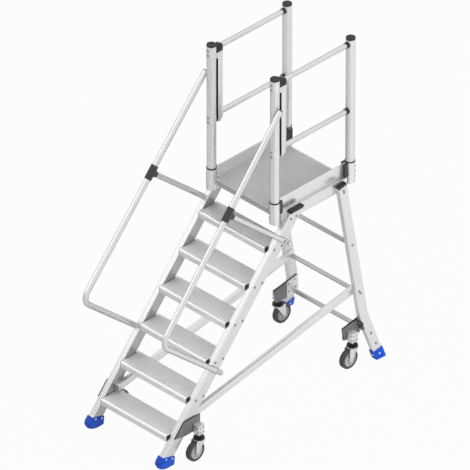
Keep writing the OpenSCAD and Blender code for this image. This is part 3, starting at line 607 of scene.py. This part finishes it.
def turnedRings(profile, centre, axis="X", steps=64):
    # closed profile of (radius, place along the axis), turned round the axis
    rings = []
    for c, s in circle(steps):
        ring = [(h, r * c, r * s) if axis == "X" else (r * c, r * s, h) for r, h in profile]
        rings.append([Vector(point) + Vector(centre) for point in ring])
    return rings


def addBox(bm, low, high):
    plan = ((low[0], low[1]), (high[0], low[1]), (high[0], high[1]), (low[0], high[1]))
    addSkin(bm, [[(x, y, z) for x, y in plan] for z in (low[2], high[2])])


def blockMesh(name, bm, width):
    # prisms with all their edges rounded
    bmesh.ops.recalc_face_normals(bm, faces=bm.faces)
    roundEdges(bm, bm.edges[:], width)
    return meshOf(bm, name)


def solidsOf(nodeName):
    # corner points of each separate solid of a node
    bm = joinedCopy(nodeName)
    left, groups = set(bm.verts), []
    for start in bm.verts:
        todo, found = [start], []
        while todo:
            v = todo.pop()
            if v in left:
                left.remove(v)
                found.append(tuple(v.co))
                todo += [e.other_vert(v) for e in v.link_edges]
        if found:
            groups.append(np.array(found))
    bm.free()
    return groups


class ShapeTree(NodeKit):
    # a Geometry Nodes tree with named sizes
    def __init__(self, name):
        super().__init__(bpy.data.node_groups.new(name, "GeometryNodeTree"))
        for way in ("INPUT", "OUTPUT"):
            self.tree.interface.new_socket("Geometry", in_out=way, socket_type="NodeSocketGeometry")
        self.start = self.add("NodeGroupInput")
        self.end = self.add("NodeGroupOutput")

    def sizes(self, *names, kind="Float"):
        for name in names:
            self.tree.interface.new_socket(name, in_out="INPUT", socket_type="NodeSocket" + kind)
        return [self.start.outputs[name] for name in names]

    def part(self, value, share):
        return self.math("MULTIPLY", value, share)

    def vector(self, x=0.0, y=0.0, z=0.0):
        return self.add("ShaderNodeCombineXYZ", {0: x, 1: y, 2: z}).outputs[0]

    def moved(self, node, place):
        return self.add("GeometryNodeTransform", {
            "Geometry": node.outputs["Mesh"], "Translation": place}).outputs[0]

    def join(self, *parts):
        node = self.add("GeometryNodeJoinGeometry")
        for part in parts:
            self.plug(node.inputs[0], part)
        return node.outputs[0]

    def close(self, geometry):
        # plain geometry in the finish that the piece asks for
        real = self.add("GeometryNodeRealizeInstances", {"Geometry": geometry})
        material, = self.sizes("finish", kind="Material")
        paint = self.add("GeometryNodeSetMaterial", {
            "Geometry": real.outputs[0], "Material": material})
        self.plug(self.end.inputs[0], paint.outputs[0])
        return self.tree


def growPiece(name, mesh, tree, **sizes):
    # runs a tree on a mesh and gives back the plain result
    obj = bpy.data.objects.new(name, mesh)
    scene.collection.objects.link(obj)
    mod = obj.modifiers.new(tree.name, "NODES")
    mod.node_group = tree
    for item in tree.interface.items_tree:
        if item.in_out == "INPUT" and item.name in sizes:
            mod[item.identifier] = sizes[item.name]
    bpy.context.view_layer.update()
    ready = obj.evaluated_get(bpy.context.evaluated_depsgraph_get())
    grown = bpy.data.meshes.new_from_object(ready)
    grown.name = name
    bpy.data.objects.remove(obj)
    return grown


# bolts: one tree for all, each bolt a point with its aim and its reach
boltSizes = ("headSides", "headRadius", "headHeight", "washerRadius", "washerHeight", "shankRadius")
boltLook = {
    "hex": (6, 0.0075, 0.0050, 0.0092, 0.0012, 0.004),
    "screw": (16, 0.0042, 0.0026, 0.0052, 0.0006, 0.003),
    "rivet": (16, 0.0062, 0.0030, 0.0074, 0.0008, 0.003),
}
boltForm = {
    "body": 0.66, "crown": 0.34,  # shares of the head's height
    "washerTop": 0.93, "crownTop": 0.78,  # shares of the radius below
    "dimpleLow": 0.42, "dimpleTop": 0.34, "dimpleDeep": 0.08,
    "washerSteps": 20, "dimpleSteps": 10, "shankSteps": 12,
    "headFrom": 0.0058,  # wider points of a CAD bolt are its head
}


def makeBoltTree(s=boltForm):
    t = ShapeTree("boltSet")
    sides, = t.sizes(boltSizes[0], kind="Int")
    headR, headH, washR, washH, shankR = t.sizes(*boltSizes[1:])
    body = t.part(headH, s["body"])

    def cone(steps, radius, low, top, depth):
        return t.add("GeometryNodeMeshCone", {
            "Vertices": steps, "Radius Bottom": t.part(radius, low),
            "Radius Top": t.part(radius, top), "Depth": depth})

    washer = cone(s["washerSteps"], washR, 1.0, s["washerTop"], washH)
    crown = cone(sides, headR, 1.0, s["crownTop"], t.part(headH, s["crown"]))
    dimple = cone(s["dimpleSteps"], headR, s["dimpleLow"], s["dimpleTop"],
                  t.part(headH, s["dimpleDeep"]))
    prism = t.add("GeometryNodeMeshCylinder", {"Vertices": sides, "Radius": headR, "Depth": body})
    head = t.join(washer.outputs["Mesh"], t.moved(prism, t.vector(z=t.part(body, 0.5))),
                  t.moved(crown, t.vector(z=body)), t.moved(dimple, t.vector(z=headH)))
    shank = t.add("GeometryNodeMeshCylinder", {
        "Vertices": s["shankSteps"], "Radius": shankR, "Depth": 1.0})
    aim = t.add("GeometryNodeInputNamedAttribute", {"Name": "aim"}, data_type="FLOAT_VECTOR")
    reach = t.add("GeometryNodeInputNamedAttribute", {"Name": "reach"}, data_type="FLOAT")
    turn = t.add("FunctionNodeAlignRotationToVector", {"Vector": aim.outputs[0]}, axis="Z")
    points = {"Points": t.start.outputs["Geometry"], "Rotation": turn.outputs[0]}
    heads = t.add("GeometryNodeInstanceOnPoints", dict(points, Instance=head))
    shanks = t.add("GeometryNodeInstanceOnPoints", dict(
        points, Instance=t.moved(shank, (0, 0, -0.5)), Scale=t.vector(1.0, 1.0, reach.outputs[0])))
    return t.close(t.join(heads.outputs[0], shanks.outputs[0]))


boltTree = makeBoltTree()


def boltPoints(name, places):
    # places are (seat, aim, reach)
    mesh = bpy.data.meshes.new(name)
    mesh.from_pydata([tuple(seat) for seat, _, _ in places], [], [])
    mesh.attributes.new("aim", "FLOAT_VECTOR", "POINT")
    mesh.attributes.new("reach", "FLOAT", "POINT")
    for i, (_, way, length) in enumerate(places):
        mesh.attributes["aim"].data[i].vector = Vector(way).normalized()
        mesh.attributes["reach"].data[i].value = length
    return mesh


def putBolts(name, places, kind, key, *nodeNames):
    mesh = growPiece(name, boltPoints(name + "Points", places), boltTree,
                     finish=finish[key], **dict(zip(boltSizes, boltLook[kind])))
    return putPiece(name, mesh, None, "zinc_steel", *nodeNames)


def cadBolts(nodeName):
    # seat, aim and reach of each bolt of a node
    places = []
    for pts in solidsOf(nodeName):
        mid = pts.mean(0)
        axis = np.linalg.svd(pts - mid)[2][0]
        along = (pts - mid) @ axis
        off = np.linalg.norm(pts - mid - np.outer(along, axis), axis=1)
        wide = along[off > boltForm["headFrom"]]
        if wide.mean() < 0:
            axis, along, wide = -axis, -along, -wide
        places.append((mid + axis * wide.min(), axis, float(wide.min() - along.min())))
    return places


putBolts("treadBoltSet", cadBolts("tread_bolts"), "hex", "zinc", "tread_bolts")
putBolts("frameBoltSet", cadBolts("frame_bolts"), "hex", "zinc", "frame_bolts")
print("bolts set")


# treads: a plate with two lips and a rounded nose, and ribs grown on it
treadShape = {
    "half": 0.297, "depth": 0.168, "skin": 0.005, "margin": 0.012, "chamfer": 0.001,
    "lip": 0.046, "lipWall": 0.006, "rearLip": 0.024, "noseRadius": 0.0060, "noseSteps": 5,
    "grooveDrops": (0.015, 0.031), "groove": 0.004, "grooveDepth": 0.002,
    "ribFirst": 0.018, "ribPitch": 0.009, "ribWidth": 0.006, "ribHeight": 0.0016, "ribCount": 15,
    "ribFoot": 0.6, "ribCrest": 0.72,  # shares of a rib's height and width
    "portDrop": 0.015, "portAt": (0.044, 0.112), "portRadius": 0.0105, "portSteps": 20,
    "smoothTo": 30,
}


def makeRibTree(s=treadShape):
    t = ShapeTree("ribRow")
    count, = t.sizes("ribCount", kind="Int")
    pitch, width, height, length = t.sizes("pitch", "width", "height", "length")
    first, = t.sizes("first", kind="Vector")
    row = t.add("GeometryNodeMeshLine", {
        "Count": count, "Start Location": first, "Offset": t.vector(y=pitch)})
    foot = t.add("GeometryNodeMeshCube", {
        "Size": t.vector(length, width, t.part(height, s["ribFoot"]))})
    crest = t.add("GeometryNodeMeshCube", {
        "Size": t.vector(length, t.part(width, s["ribCrest"]), height)})
    bar = t.join(t.moved(foot, t.vector(z=t.part(height, s["ribFoot"] / 2 - 1))),
                 t.moved(crest, t.vector(z=t.part(height, -0.5))))
    bars = t.add("GeometryNodeInstanceOnPoints", {"Points": row.outputs["Mesh"], "Instance": bar})
    return t.close(t.join(t.start.outputs["Geometry"], bars.outputs[0]))


def treadOutline(s=treadShape):
    # section of a tread from its front top edge, as depth and height
    radius, depth, top = s["noseRadius"], s["depth"], s["ribHeight"]
    lastRib = s["margin"] + s["ribPitch"] * (s["ribCount"] + 1) - s["ribWidth"]
    outline = [
        (0, -s["lip"]), (s["lipWall"], -s["lip"]), (s["lipWall"], -s["skin"]),
        (depth - s["lipWall"], -s["skin"]), (depth - s["lipWall"], -s["rearLip"]),
        (depth, -s["rearLip"]), (depth, -s["chamfer"]), (depth - s["chamfer"], 0),
        (lastRib, 0), (lastRib, -top), (s["margin"], -top), (s["margin"], 0),
    ]
    for k in range(s["noseSteps"] + 1):
        a = quarter * k / s["noseSteps"]
        outline.append((radius * (1 - math.sin(a)), -radius * (1 - math.cos(a))))
    deep = s["grooveDepth"]
    for drop in s["grooveDrops"]:
        end = drop + s["groove"]
        outline += [(0, -drop), (deep, -drop), (deep, -end), (0, -end)]
    return outline


def portOutline(at, s=treadShape):
    # round port of a bolt under the plate
    radius, z = s["portRadius"], -s["portDrop"]
    return [(at + radius * c, z + radius * d) for c, d in circle(s["portSteps"])]


def treadBody(name, y0, z0, s=treadShape):
    bm = bmesh.new()
    for section in [treadOutline()] + [portOutline(at) for at in s["portAt"]]:
        addSkin(bm, [[(x, y0 + y, z0 + z) for y, z in section] for x in (-s["half"], s["half"])])
    splitLarge(bm)
    mesh = meshOf(bm, name, s["smoothTo"], fresh=True)
    polish = mesh.attributes.new("polish", "FLOAT", "FACE")
    for face in mesh.polygons:
        y, z = face.center.y - y0, face.center.z - z0
        onNose = y < s["margin"] and z > -s["grooveDrops"][0]
        polish.data[face.index].value = 1.0 if onNose else 0.0
    return mesh


def makeTreads(s=treadShape):
    ribTree = makeRibTree()
    for i in range(1, stair["treadCount"] + 1):
        y0, z0 = treadNose(i)
        name = "treadRibbed%d" % i
        mesh = growPiece(name, treadBody("treadBody%d" % i, y0, z0), ribTree,
                         ribCount=s["ribCount"], pitch=s["ribPitch"], width=s["ribWidth"],
                         height=s["ribHeight"], length=2 * s["half"],
                         first=(0, y0 + s["ribFirst"], z0), finish=finish["gripped"])
        putPiece(name, mesh, None, "aluminium_ribbed", "tread_%d" % i)


makeTreads()
print("treads made")


# profiles and fittings with rounded edges
# which faces of a side profile get the painted shade
shadedWebMark = {"near": 0.0005, "facing": 0.9}
tipShape = {"inner": -0.306, "rear": 0.5, "top": 0.281}


def markShadedWeb(bm, s=shadedWebMark):
    # flags the inner web of a side profile for painted shade: the finish darkens it to stand for
    # the shade it lies in
    web = bm.faces.layers.float.new("web")
    for face in bm.faces:
        off = abs(abs(face.calc_center_median().x) - stair["halfIn"])
        if off < s["near"] and abs(face.normal.x) > s["facing"]:
            face[web] = 1.0


def levelTip(bm, s=tipShape):
    # lowers the flange's tip on the left rear bracket, which the photo doesn't show above the plate
    for v in bm.verts:
        if v.co.x < s["inner"] and v.co.y > s["rear"]:
            v.co.z = min(v.co.z, s["top"])


for name in ("stringer_left", "stringer_right"):
    softEdged(name, "profileSlope", "aluminium_profile", width=0.0030, steps=3, trim=markShadedWeb)
softEdged("braces", "profileBrace", "aluminium_profile", width=0.0016)
for name in ("rear_leg_left", "rear_leg_right"):
    softEdged(name, "legZ", "aluminium_profile", width=0.0028, steps=3)
for name in ("side_beam_left", "side_beam_right", "toe_boards"):
    softEdged(name, "profileY", "aluminium_profile", width=0.0014)
softEdged("cross_beams", "profileX", "aluminium_profile", width=0.0020)
softEdged("guard_uprights", "profileZ", "aluminium_profile", width=0.0016)
# the tread end caps take the deep black: painted shade
softEdged("tread_end_caps", "deep", "black_plastic", width=0.0008)
softEdged("profile_caps", "black", "black_plastic", width=0.0030, steps=3)
softEdged("corner_connectors", "dull", "black_plastic", width=0.0016)
softEdged("upright_strips", "black", "black_plastic", width=0.0010)
softEdged("rear_feet", "blue", "blue_plastic", width=0.0080, shortest=0.012, steps=4,
          outer=True)
# the brackets' thin rim faces are flagged, and the coat paints them black: painted shade
softEdged("castor_brackets", "coated", "dark_steel", width=0.0012, rim=0.009, trim=levelTip)
softEdged("castor_housings", "cast", "castor_alloy", width=0.0020)


# front feet: the toe also rounds in plan, more so towards the sole
toeShape = {
    "middle": 0.321, "half": 0.026, "sole": 0.026, "top": 0.088, "reach": 0.036, "front": -0.930,
    "cutsX": (0.35, 0.60, 0.78, 0.90, 0.97), "cutsZ": (0.034, 0.044, 0.056, 0.070), "smoothTo": 38,
}


def roundToes(s=toeShape):
    bm = joinedCopy("front_feet")
    for side in leftAndRight:
        for share in (0,) + s["cutsX"] + tuple(-c for c in s["cutsX"]):
            sliceAt(bm, (side * s["middle"] + share * s["half"], 0, 0), (1, 0, 0))
    for z in s["cutsZ"] + (s["top"],):
        sliceAt(bm, (0, 0, z), (0, 0, 1))
    for v in bm.verts:
        if v.co.y < s["front"] and v.co.z < s["top"]:
            out = min(1.0, abs(abs(v.co.x) - s["middle"]) / s["half"])
            fade = (s["top"] - v.co.z) / (s["top"] - s["sole"])
            v.co.y += s["reach"] * fade * (1 - math.sqrt(1 - out * out))
    bmesh.ops.triangulate(bm, faces=bm.faces)
    return meshOf(bm, "front_feetSoft", s["smoothTo"])


putPiece("front_feetSoft", roundToes(), "blue", "blue_plastic", "front_feet")


# elbows: black grip above, pale clamp below
elbowShape = {"split": 2.412, "width": 0.0020, "shortest": 0.006}


def elbowHalf(name, top, s=elbowShape):
    bm = joinedCopy("rail_elbows")
    roundEdges(bm, sharpEdges(bm, s["shortest"]), s["width"])
    sliceAt(bm, (0, 0, s["split"]), (0, 0, 1), clear_inner=top, clear_outer=not top)
    bmesh.ops.holes_fill(bm, edges=[e for e in bm.edges if e.is_boundary], sides=0)
    splitLarge(bm)
    return meshOf(bm, name, fresh=True)


for name, top, key, slot in (("railElbowTop", True, "black", "black_plastic"),
                             ("railElbowClamp", False, "cast", "castor_alloy")):
    putPiece(name, elbowHalf(name, top), key, slot, "rail_elbows")
print("profiles and fittings rounded")


# wheels: tyre and hub turned from half sections in millimetres, ribs grown in the hub
wheelShape = {
    "tyre": [(50.0, -17.2), (55.0, -19.6), (62.0, -20.0), (67.0, -18.4), (69.3, -14.6),
             (70.0, -9.5)],
    "hub": [(5.1, -19.9), (11.0, -19.9), (12.0, -19.2), (15.6, -19.2), (16.2, -14.0),
            (41.0, -12.5), (42.6, -16.6), (49.2, -17.9), (50.1, -16.5)],
    "headRing": [(0.0325, 0.1455), (0.0374, 0.1455), (0.0386, 0.147), (0.0386, 0.1516),
                 (0.0378, 0.1526), (0.0325, 0.1526)],
    "ribCount": 8, "ribLength": 0.027, "ribThick": 0.0030, "ribWide": 0.0320, "ribAt": 0.0288,
    "forkEdge": 0.0008, "forkShortest": 0.008,
}


def makeHubTree():
    t = ShapeTree("hubRibs")
    count, = t.sizes("ribCount", kind="Int")
    length, thick, wide, at = t.sizes("length", "thick", "wide", "radius")
    centre, = t.sizes("centre", kind="Vector")
    rib = t.add("GeometryNodeMeshCube", {"Size": t.vector(wide, length, thick)})
    spots = t.add("GeometryNodePoints", {"Count": count, "Position": centre})
    step = t.math("DIVIDE", 2 * math.pi, count)
    angle = t.math("MULTIPLY", t.add("GeometryNodeInputIndex").outputs[0], step)
    ribs = t.add("GeometryNodeInstanceOnPoints", {
        "Points": spots.outputs[0], "Instance": t.moved(rib, t.vector(y=at)),
        "Rotation": t.vector(x=angle)})
    return t.close(t.join(t.start.outputs["Geometry"], ribs.outputs[0]))


def middleOf(nodeName):
    low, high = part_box(nodeName)
    return (low + high) / 2


def atHeight(point, z):
    return Vector((point.x, point.y, z))


def wholeSection(half):
    # the half section and its mirror image, in metres
    return [(r / 1000, h / 1000) for r, h in half + [(r, -h) for r, h in reversed(half)]]


def makeWheel(corner, hubTree, s=wheelShape):
    centre = middleOf("wheel_" + corner)
    roller, swivel = "roller_" + corner, "swivel_" + corner
    tyre = skinMesh("tyre_" + corner, turnedRings(wholeSection(s["tyre"]), centre), closed=True)
    putPiece("tyre_" + corner, tyre, "tyre", "wheel_tyre", "wheel_" + corner, body=roller)
    hub = skinMesh("hubBody_" + corner, turnedRings(wholeSection(s["hub"]), centre), closed=True)
    hub = growPiece("hub_" + corner, hub, hubTree, ribCount=s["ribCount"], length=s["ribLength"],
                    thick=s["ribThick"], wide=s["ribWide"], radius=s["ribAt"],
                    centre=tuple(centre), finish=finish["hub"])
    putPiece("hub_" + corner, hub, None, "wheel_tyre", body=roller)
    softEdged("fork_" + corner, "fork", "fork_steel", s["forkEdge"], swivel, s["forkShortest"])
    foot = atHeight(middleOf("stem_" + corner), 0)
    head = skinMesh("headRing_" + corner, turnedRings(s["headRing"], foot, "Z"), closed=True)
    putPiece("headRing_" + corner, head, "fork", "fork_steel", body=swivel)


ribbedHub = makeHubTree()
for corner in castorCorners:
    makeWheel(corner, ribbedHub)
print("wheels made")


# springs: a coil in each housing in place of the spring node
coilShape = {
    "radius": 0.0170, "wire": 0.0015, "turns": 5, "ringSteps": 28, "wireSides": 8,
    "clear": 0.0001, "travel": 0.026, "smoothTo": 50,
}


def coilRings(centre, low, high, s=coilShape):
    count, wire = s["turns"] * s["ringSteps"], s["wire"]
    rings = []
    for k in range(count + 1):
        a = 2 * math.pi * k / s["ringSteps"]
        z = low + wire + (high - low - 2 * wire) * k / count
        ring = []
        for c, d in circle(s["wireSides"]):
            r = s["radius"] + wire * c
            ring.append((centre.x + r * math.cos(a), centre.y + r * math.sin(a), z + wire * d))
        rings.append(ring)
    return rings


for corner in castorCorners:
    low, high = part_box("spring_" + corner)
    middle = middleOf("spring_" + corner)
    gap, length = coilShape["clear"], high.z - low.z
    rings = coilRings(middle, low.z + gap, high.z - gap)
    mesh = skinMesh("coil_" + corner, rings, degrees=coilShape["smoothTo"])
    coil = putPiece("coil_" + corner, mesh, "spring", "spring_steel", "spring_" + corner)
    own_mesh(coil)
print("springs coiled")


# small fittings that only the looks show
legShape = {
    "lean": math.radians(10.45), "splay": math.radians(17.6), "footY": 1.815742 - stair["midY"],
    "inner": 0.300, "outer": 0.336, "depth": 0.072, "kink": 0.310 / math.cos(math.radians(10.45)),
    "boltReach": 0.02, "bolts": ((0.0, 0.183), (0.006, 0.105)),
}


def legPlace(side, x, y, l):
    # point on the leaning, splayed leg; x runs outwards from the middle of the stair
    out = max(0.0, (legShape["kink"] - l) * math.tan(legShape["splay"]))
    turn = Matrix.Rotation(legShape["lean"], 4, "X")
    foot = Matrix.Translation((0, legShape["footY"], stair["lift"]))
    return foot @ turn @ Vector((side * (x + out), y, l))


def legWay(side, outwards, l):
    # outward or inward normal of the leg's side face
    slant = math.tan(legShape["splay"]) if l < legShape["kink"] else 0.0
    way = Vector((side, 0, slant)) * (1 if outwards else -1)
    return (Matrix.Rotation(legShape["lean"], 3, "X") @ way).normalized()


def legBolts(s=legShape):
    return [(legPlace(side, s["outer"], y, l), legWay(side, True, l), s["boltReach"])
            for side in leftAndRight for y, l in s["bolts"]]


fittings = {
    "screwReach": 0.004,
    "postX": 0.284, "postY": (0.989 - stair["midY"], 1.672 - stair["midY"]),
    "socketAngles": (45, 225), "socketRadius": 0.0342, "socketTop": 1.547,
    "socketDrops": (0.040, 0.078, 0.114),
    "housingHalf": 0.027, "housingHeights": (0.207, 0.244), "housingReach": 0.014,
    "bandHeights": ((2.401, 2.458), (1.898, 1.952)), "bandInner": 0.03105, "bandOuter": 0.0320,
    "bandEdge": 0.0006, "bandSteps": 56,
}


def socketScrews(f=fittings):
    places = []
    for x in (-f["postX"], f["postX"]):
        for y in f["postY"]:
            for drop in f["socketDrops"]:
                for angle in map(math.radians, f["socketAngles"]):
                    way = Vector((math.cos(angle), math.sin(angle), 0))
                    seat = Vector((x, y, f["socketTop"] - drop)) + way * f["socketRadius"]
                    places.append((seat, way, f["screwReach"]))
    return places


def housingScrews(f=fittings):
    places = []
    for corner in castorCorners:
        middle = middleOf("stem_" + corner)
        outwards = 1 if corner.endswith("right") else -1
        for way in (Vector((outwards, 0, 0)), Vector((0, -1, 0)), Vector((0, 1, 0))):
            beside = Vector((-way.y, way.x, 0)) * f["housingReach"]
            for z in f["housingHeights"]:
                face = atHeight(middle, z) + way * f["housingHalf"]
                places += [(face + spot, way, f["screwReach"]) for spot in (-beside, beside)]
    return places


# rivets of the feet: on both sides of the front ones, on three sides of the rear ones
bootShape = {
    "outer": 0.347, "inner": 0.295, "frontSpots": ((0.097, 0.050), (0.080, 0.102)),
    "wall": 0.005, "rearHeight": 0.036, "rearMiddle": 0.318, "reach": 0.004,
}


def bootRivets(s=bootShape, leg=legShape):
    places = []
    l, wall, reach = s["rearHeight"], s["wall"], s["reach"]
    front = Matrix.Rotation(leg["lean"], 3, "X") @ Vector((0, -1, 0))
    for side in leftAndRight:
        for x, way in ((s["outer"], 1), (s["inner"], -1)):
            for z, back in s["frontSpots"]:
                seat = Vector((side * x, rakeY(z, back), z))
                places.append((seat, Vector((side * way, 0, 0)), reach))
        for x, outwards in ((leg["outer"] + wall, True), (leg["inner"] - wall, False)):
            places.append((legPlace(side, x, 0, l), legWay(side, outwards, l), reach))
        seat = legPlace(side, s["rearMiddle"], -leg["depth"] / 2 - wall, l)
        places.append((seat, front, reach))
    return places


putBolts("socketScrewSet", socketScrews(), "screw", "coated")
putBolts("housingScrewSet", housingScrews(), "screw", "zinc")
putBolts("bootRivetSet", bootRivets(), "rivet", "fork")
putBolts("legBoltSet", legBolts(), "hex", "zinc")


def postBands(f=fittings):
    bm = bmesh.new()
    r0, r1, e = f["bandInner"], f["bandOuter"], f["bandEdge"]
    for x in (-f["postX"], f["postX"]):
        for low, high in f["bandHeights"]:
            profile = [(r0, low), (r1 - e, low), (r1, low + e), (r1, high - e), (r1 - e, high),
                       (r0, high)]
            rings = turnedRings(profile, (x, f["postY"][0], 0), "Z", f["bandSteps"])
            addSkin(bm, rings, closed=True)
    return meshOf(bm, "postBands", fresh=True)


putPiece("postBands", postBands(), "tubeZ", "aluminium_tube")


# faces on the rear brackets, as depth and height; the right ones sit lower and further back
bracketFace = {
    "dark": ((0.695, 0.313), (0.8212, 0.3314), (0.8212, 0.217), (0.713, 0.2106)),
    "pale": ((0.8212, 0.3314), (0.905, 0.3436), (0.918, 0.340), (0.9268, 0.2377), (0.882, 0.199),
             (0.8212, 0.199)),
    "rim": ((0.693, 0.3105), (0.693, 0.3155), (0.907, 0.3467), (0.907, 0.3417)),
    "bolts": ((0.833, 0.301), (0.890, 0.313), (0.841, 0.240), (0.9006, 0.250)),
    "inner": 0.2995, "outer": 0.3034, "rimInner": 0.2935, "edge": 0.0008, "boltReach": 0.003,
    "rightDrop": 0.0243, "rightFront": 0.7205, "upper": 0.28,
}


def faceSpot(side, y, z, s=bracketFace):
    if side < 0:
        return y, z
    return max(y, s["rightFront"]), z - s["rightDrop"] if z > s["upper"] else z


def putFace(part, key, slot, inner, s=bracketFace):
    name = part + "BracketFace"
    bm = bmesh.new()
    for side in leftAndRight:
        spots = [faceSpot(side, y, z) for y, z in s[part]]
        addSkin(bm, [[(side * x,) + spot for spot in spots] for x in (inner, s["outer"])])
    putPiece(name, blockMesh(name, bm, s["edge"]), key, slot)


def faceBolts(s=bracketFace):
    return [(Vector((side * s["inner"],) + faceSpot(side, y, z)), Vector((-side, 0, 0)),
             s["boltReach"]) for side in leftAndRight for y, z in s["bolts"]]


putFace("dark", "coated", "dark_steel", bracketFace["inner"])
putFace("pale", "fork", "fork_steel", bracketFace["inner"])
# the thin rim along the brackets' top edges is black; its deep black carries painted shade as well
putFace("rim", "deep", "dark_steel", bracketFace["rimInner"])
putBolts("faceBoltSet", faceBolts(), "rivet", "zinc")


# ribbed pads on the inner sides of the rear sockets
padShape = {
    "ahead": 0.014, "near": 0.2462, "far": 0.272, "low": 1.424, "high": 1.543, "half": 0.030,
    "ribs": 5, "ribWide": 0.005, "ribProud": 0.0025, "ribShort": 0.004, "edge": 0.0008,
}


def socketPads(s=padShape):
    bm = bmesh.new()
    middle, half, wide = fittings["postY"][1] - s["ahead"], s["half"], s["ribWide"] / 2
    low, high = s["low"] + s["ribShort"], s["high"] - s["ribShort"]
    for side in leftAndRight:
        x0, x1 = sorted((side * s["near"], side * s["far"]))
        addBox(bm, (x0, middle - half, s["low"]), (x1, middle + half, s["high"]))
        x0, x1 = sorted(side * (s["near"] + proud) for proud in (-s["ribProud"], s["ribProud"]))
        for k in range(s["ribs"]):
            y = middle - half + 2 * half * (k + 0.5) / s["ribs"]
            addBox(bm, (x0, y - wide, low), (x1, y + wide, high))
    return blockMesh("socketPads", bm, s["edge"])


putPiece("socketPads", socketPads(), "dull", "black_plastic")


# thin strips along the fronts of the side profiles, in a darker finish: painted shade standing for
# two shallow grooves
grooveShadeShape = {
    "places": (0.313, 0.328), "wide": 0.0026, "back": 0.025, "proud": 0.0004, "deep": 0.0012,
    "low": 0.124, "high": 1.425, "edge": 0.0002,
}


def slopeGrooveShades(s=grooveShadeShape):
    bm = bmesh.new()
    half, low, high = s["wide"] / 2, s["low"], s["high"]
    plan = ((-half, low), (half, low), (half, high), (-half, high))
    for side in leftAndRight:
        for x in s["places"]:
            addSkin(bm, [[(side * x + dx, rakeY(z, back), z) for dx, z in plan]
                         for back in (s["back"] + s["deep"], s["back"] - s["proud"])])
    return blockMesh("slopeGrooveShades", bm, s["edge"])


putPiece("slopeGrooveShades", slopeGrooveShades(), "lineSlope", "aluminium_profile")
print("small fittings set")


# CAD nodes that keep their shape get a finish
def dress(key, *nodeNames):
    for name in nodeNames:
        obj = cadNodes[name]
        obj.data.materials.clear()
        obj.data.materials.append(finish[key])


dress("tubeSlope", "handrail_left", "handrail_right", "handrail_struts")
dress("tubeY", "top_rails", "knee_rails")
dress("rungX", "rear_rungs")
dress("tubeZ", "post_sockets", "post_front_left", "post_front_right", "post_rear_left",
      "post_rear_right")
dress("decking", "deck")
# the clamps take the lighter dull black, which holds painted highlight
dress("dull", "handrail_clamps")
dress("black", "socket_rings", "post_caps", "rail_bushes", "handrail_plugs",
      *("stem_" + corner for corner in castorCorners))
print("CAD nodes dressed")
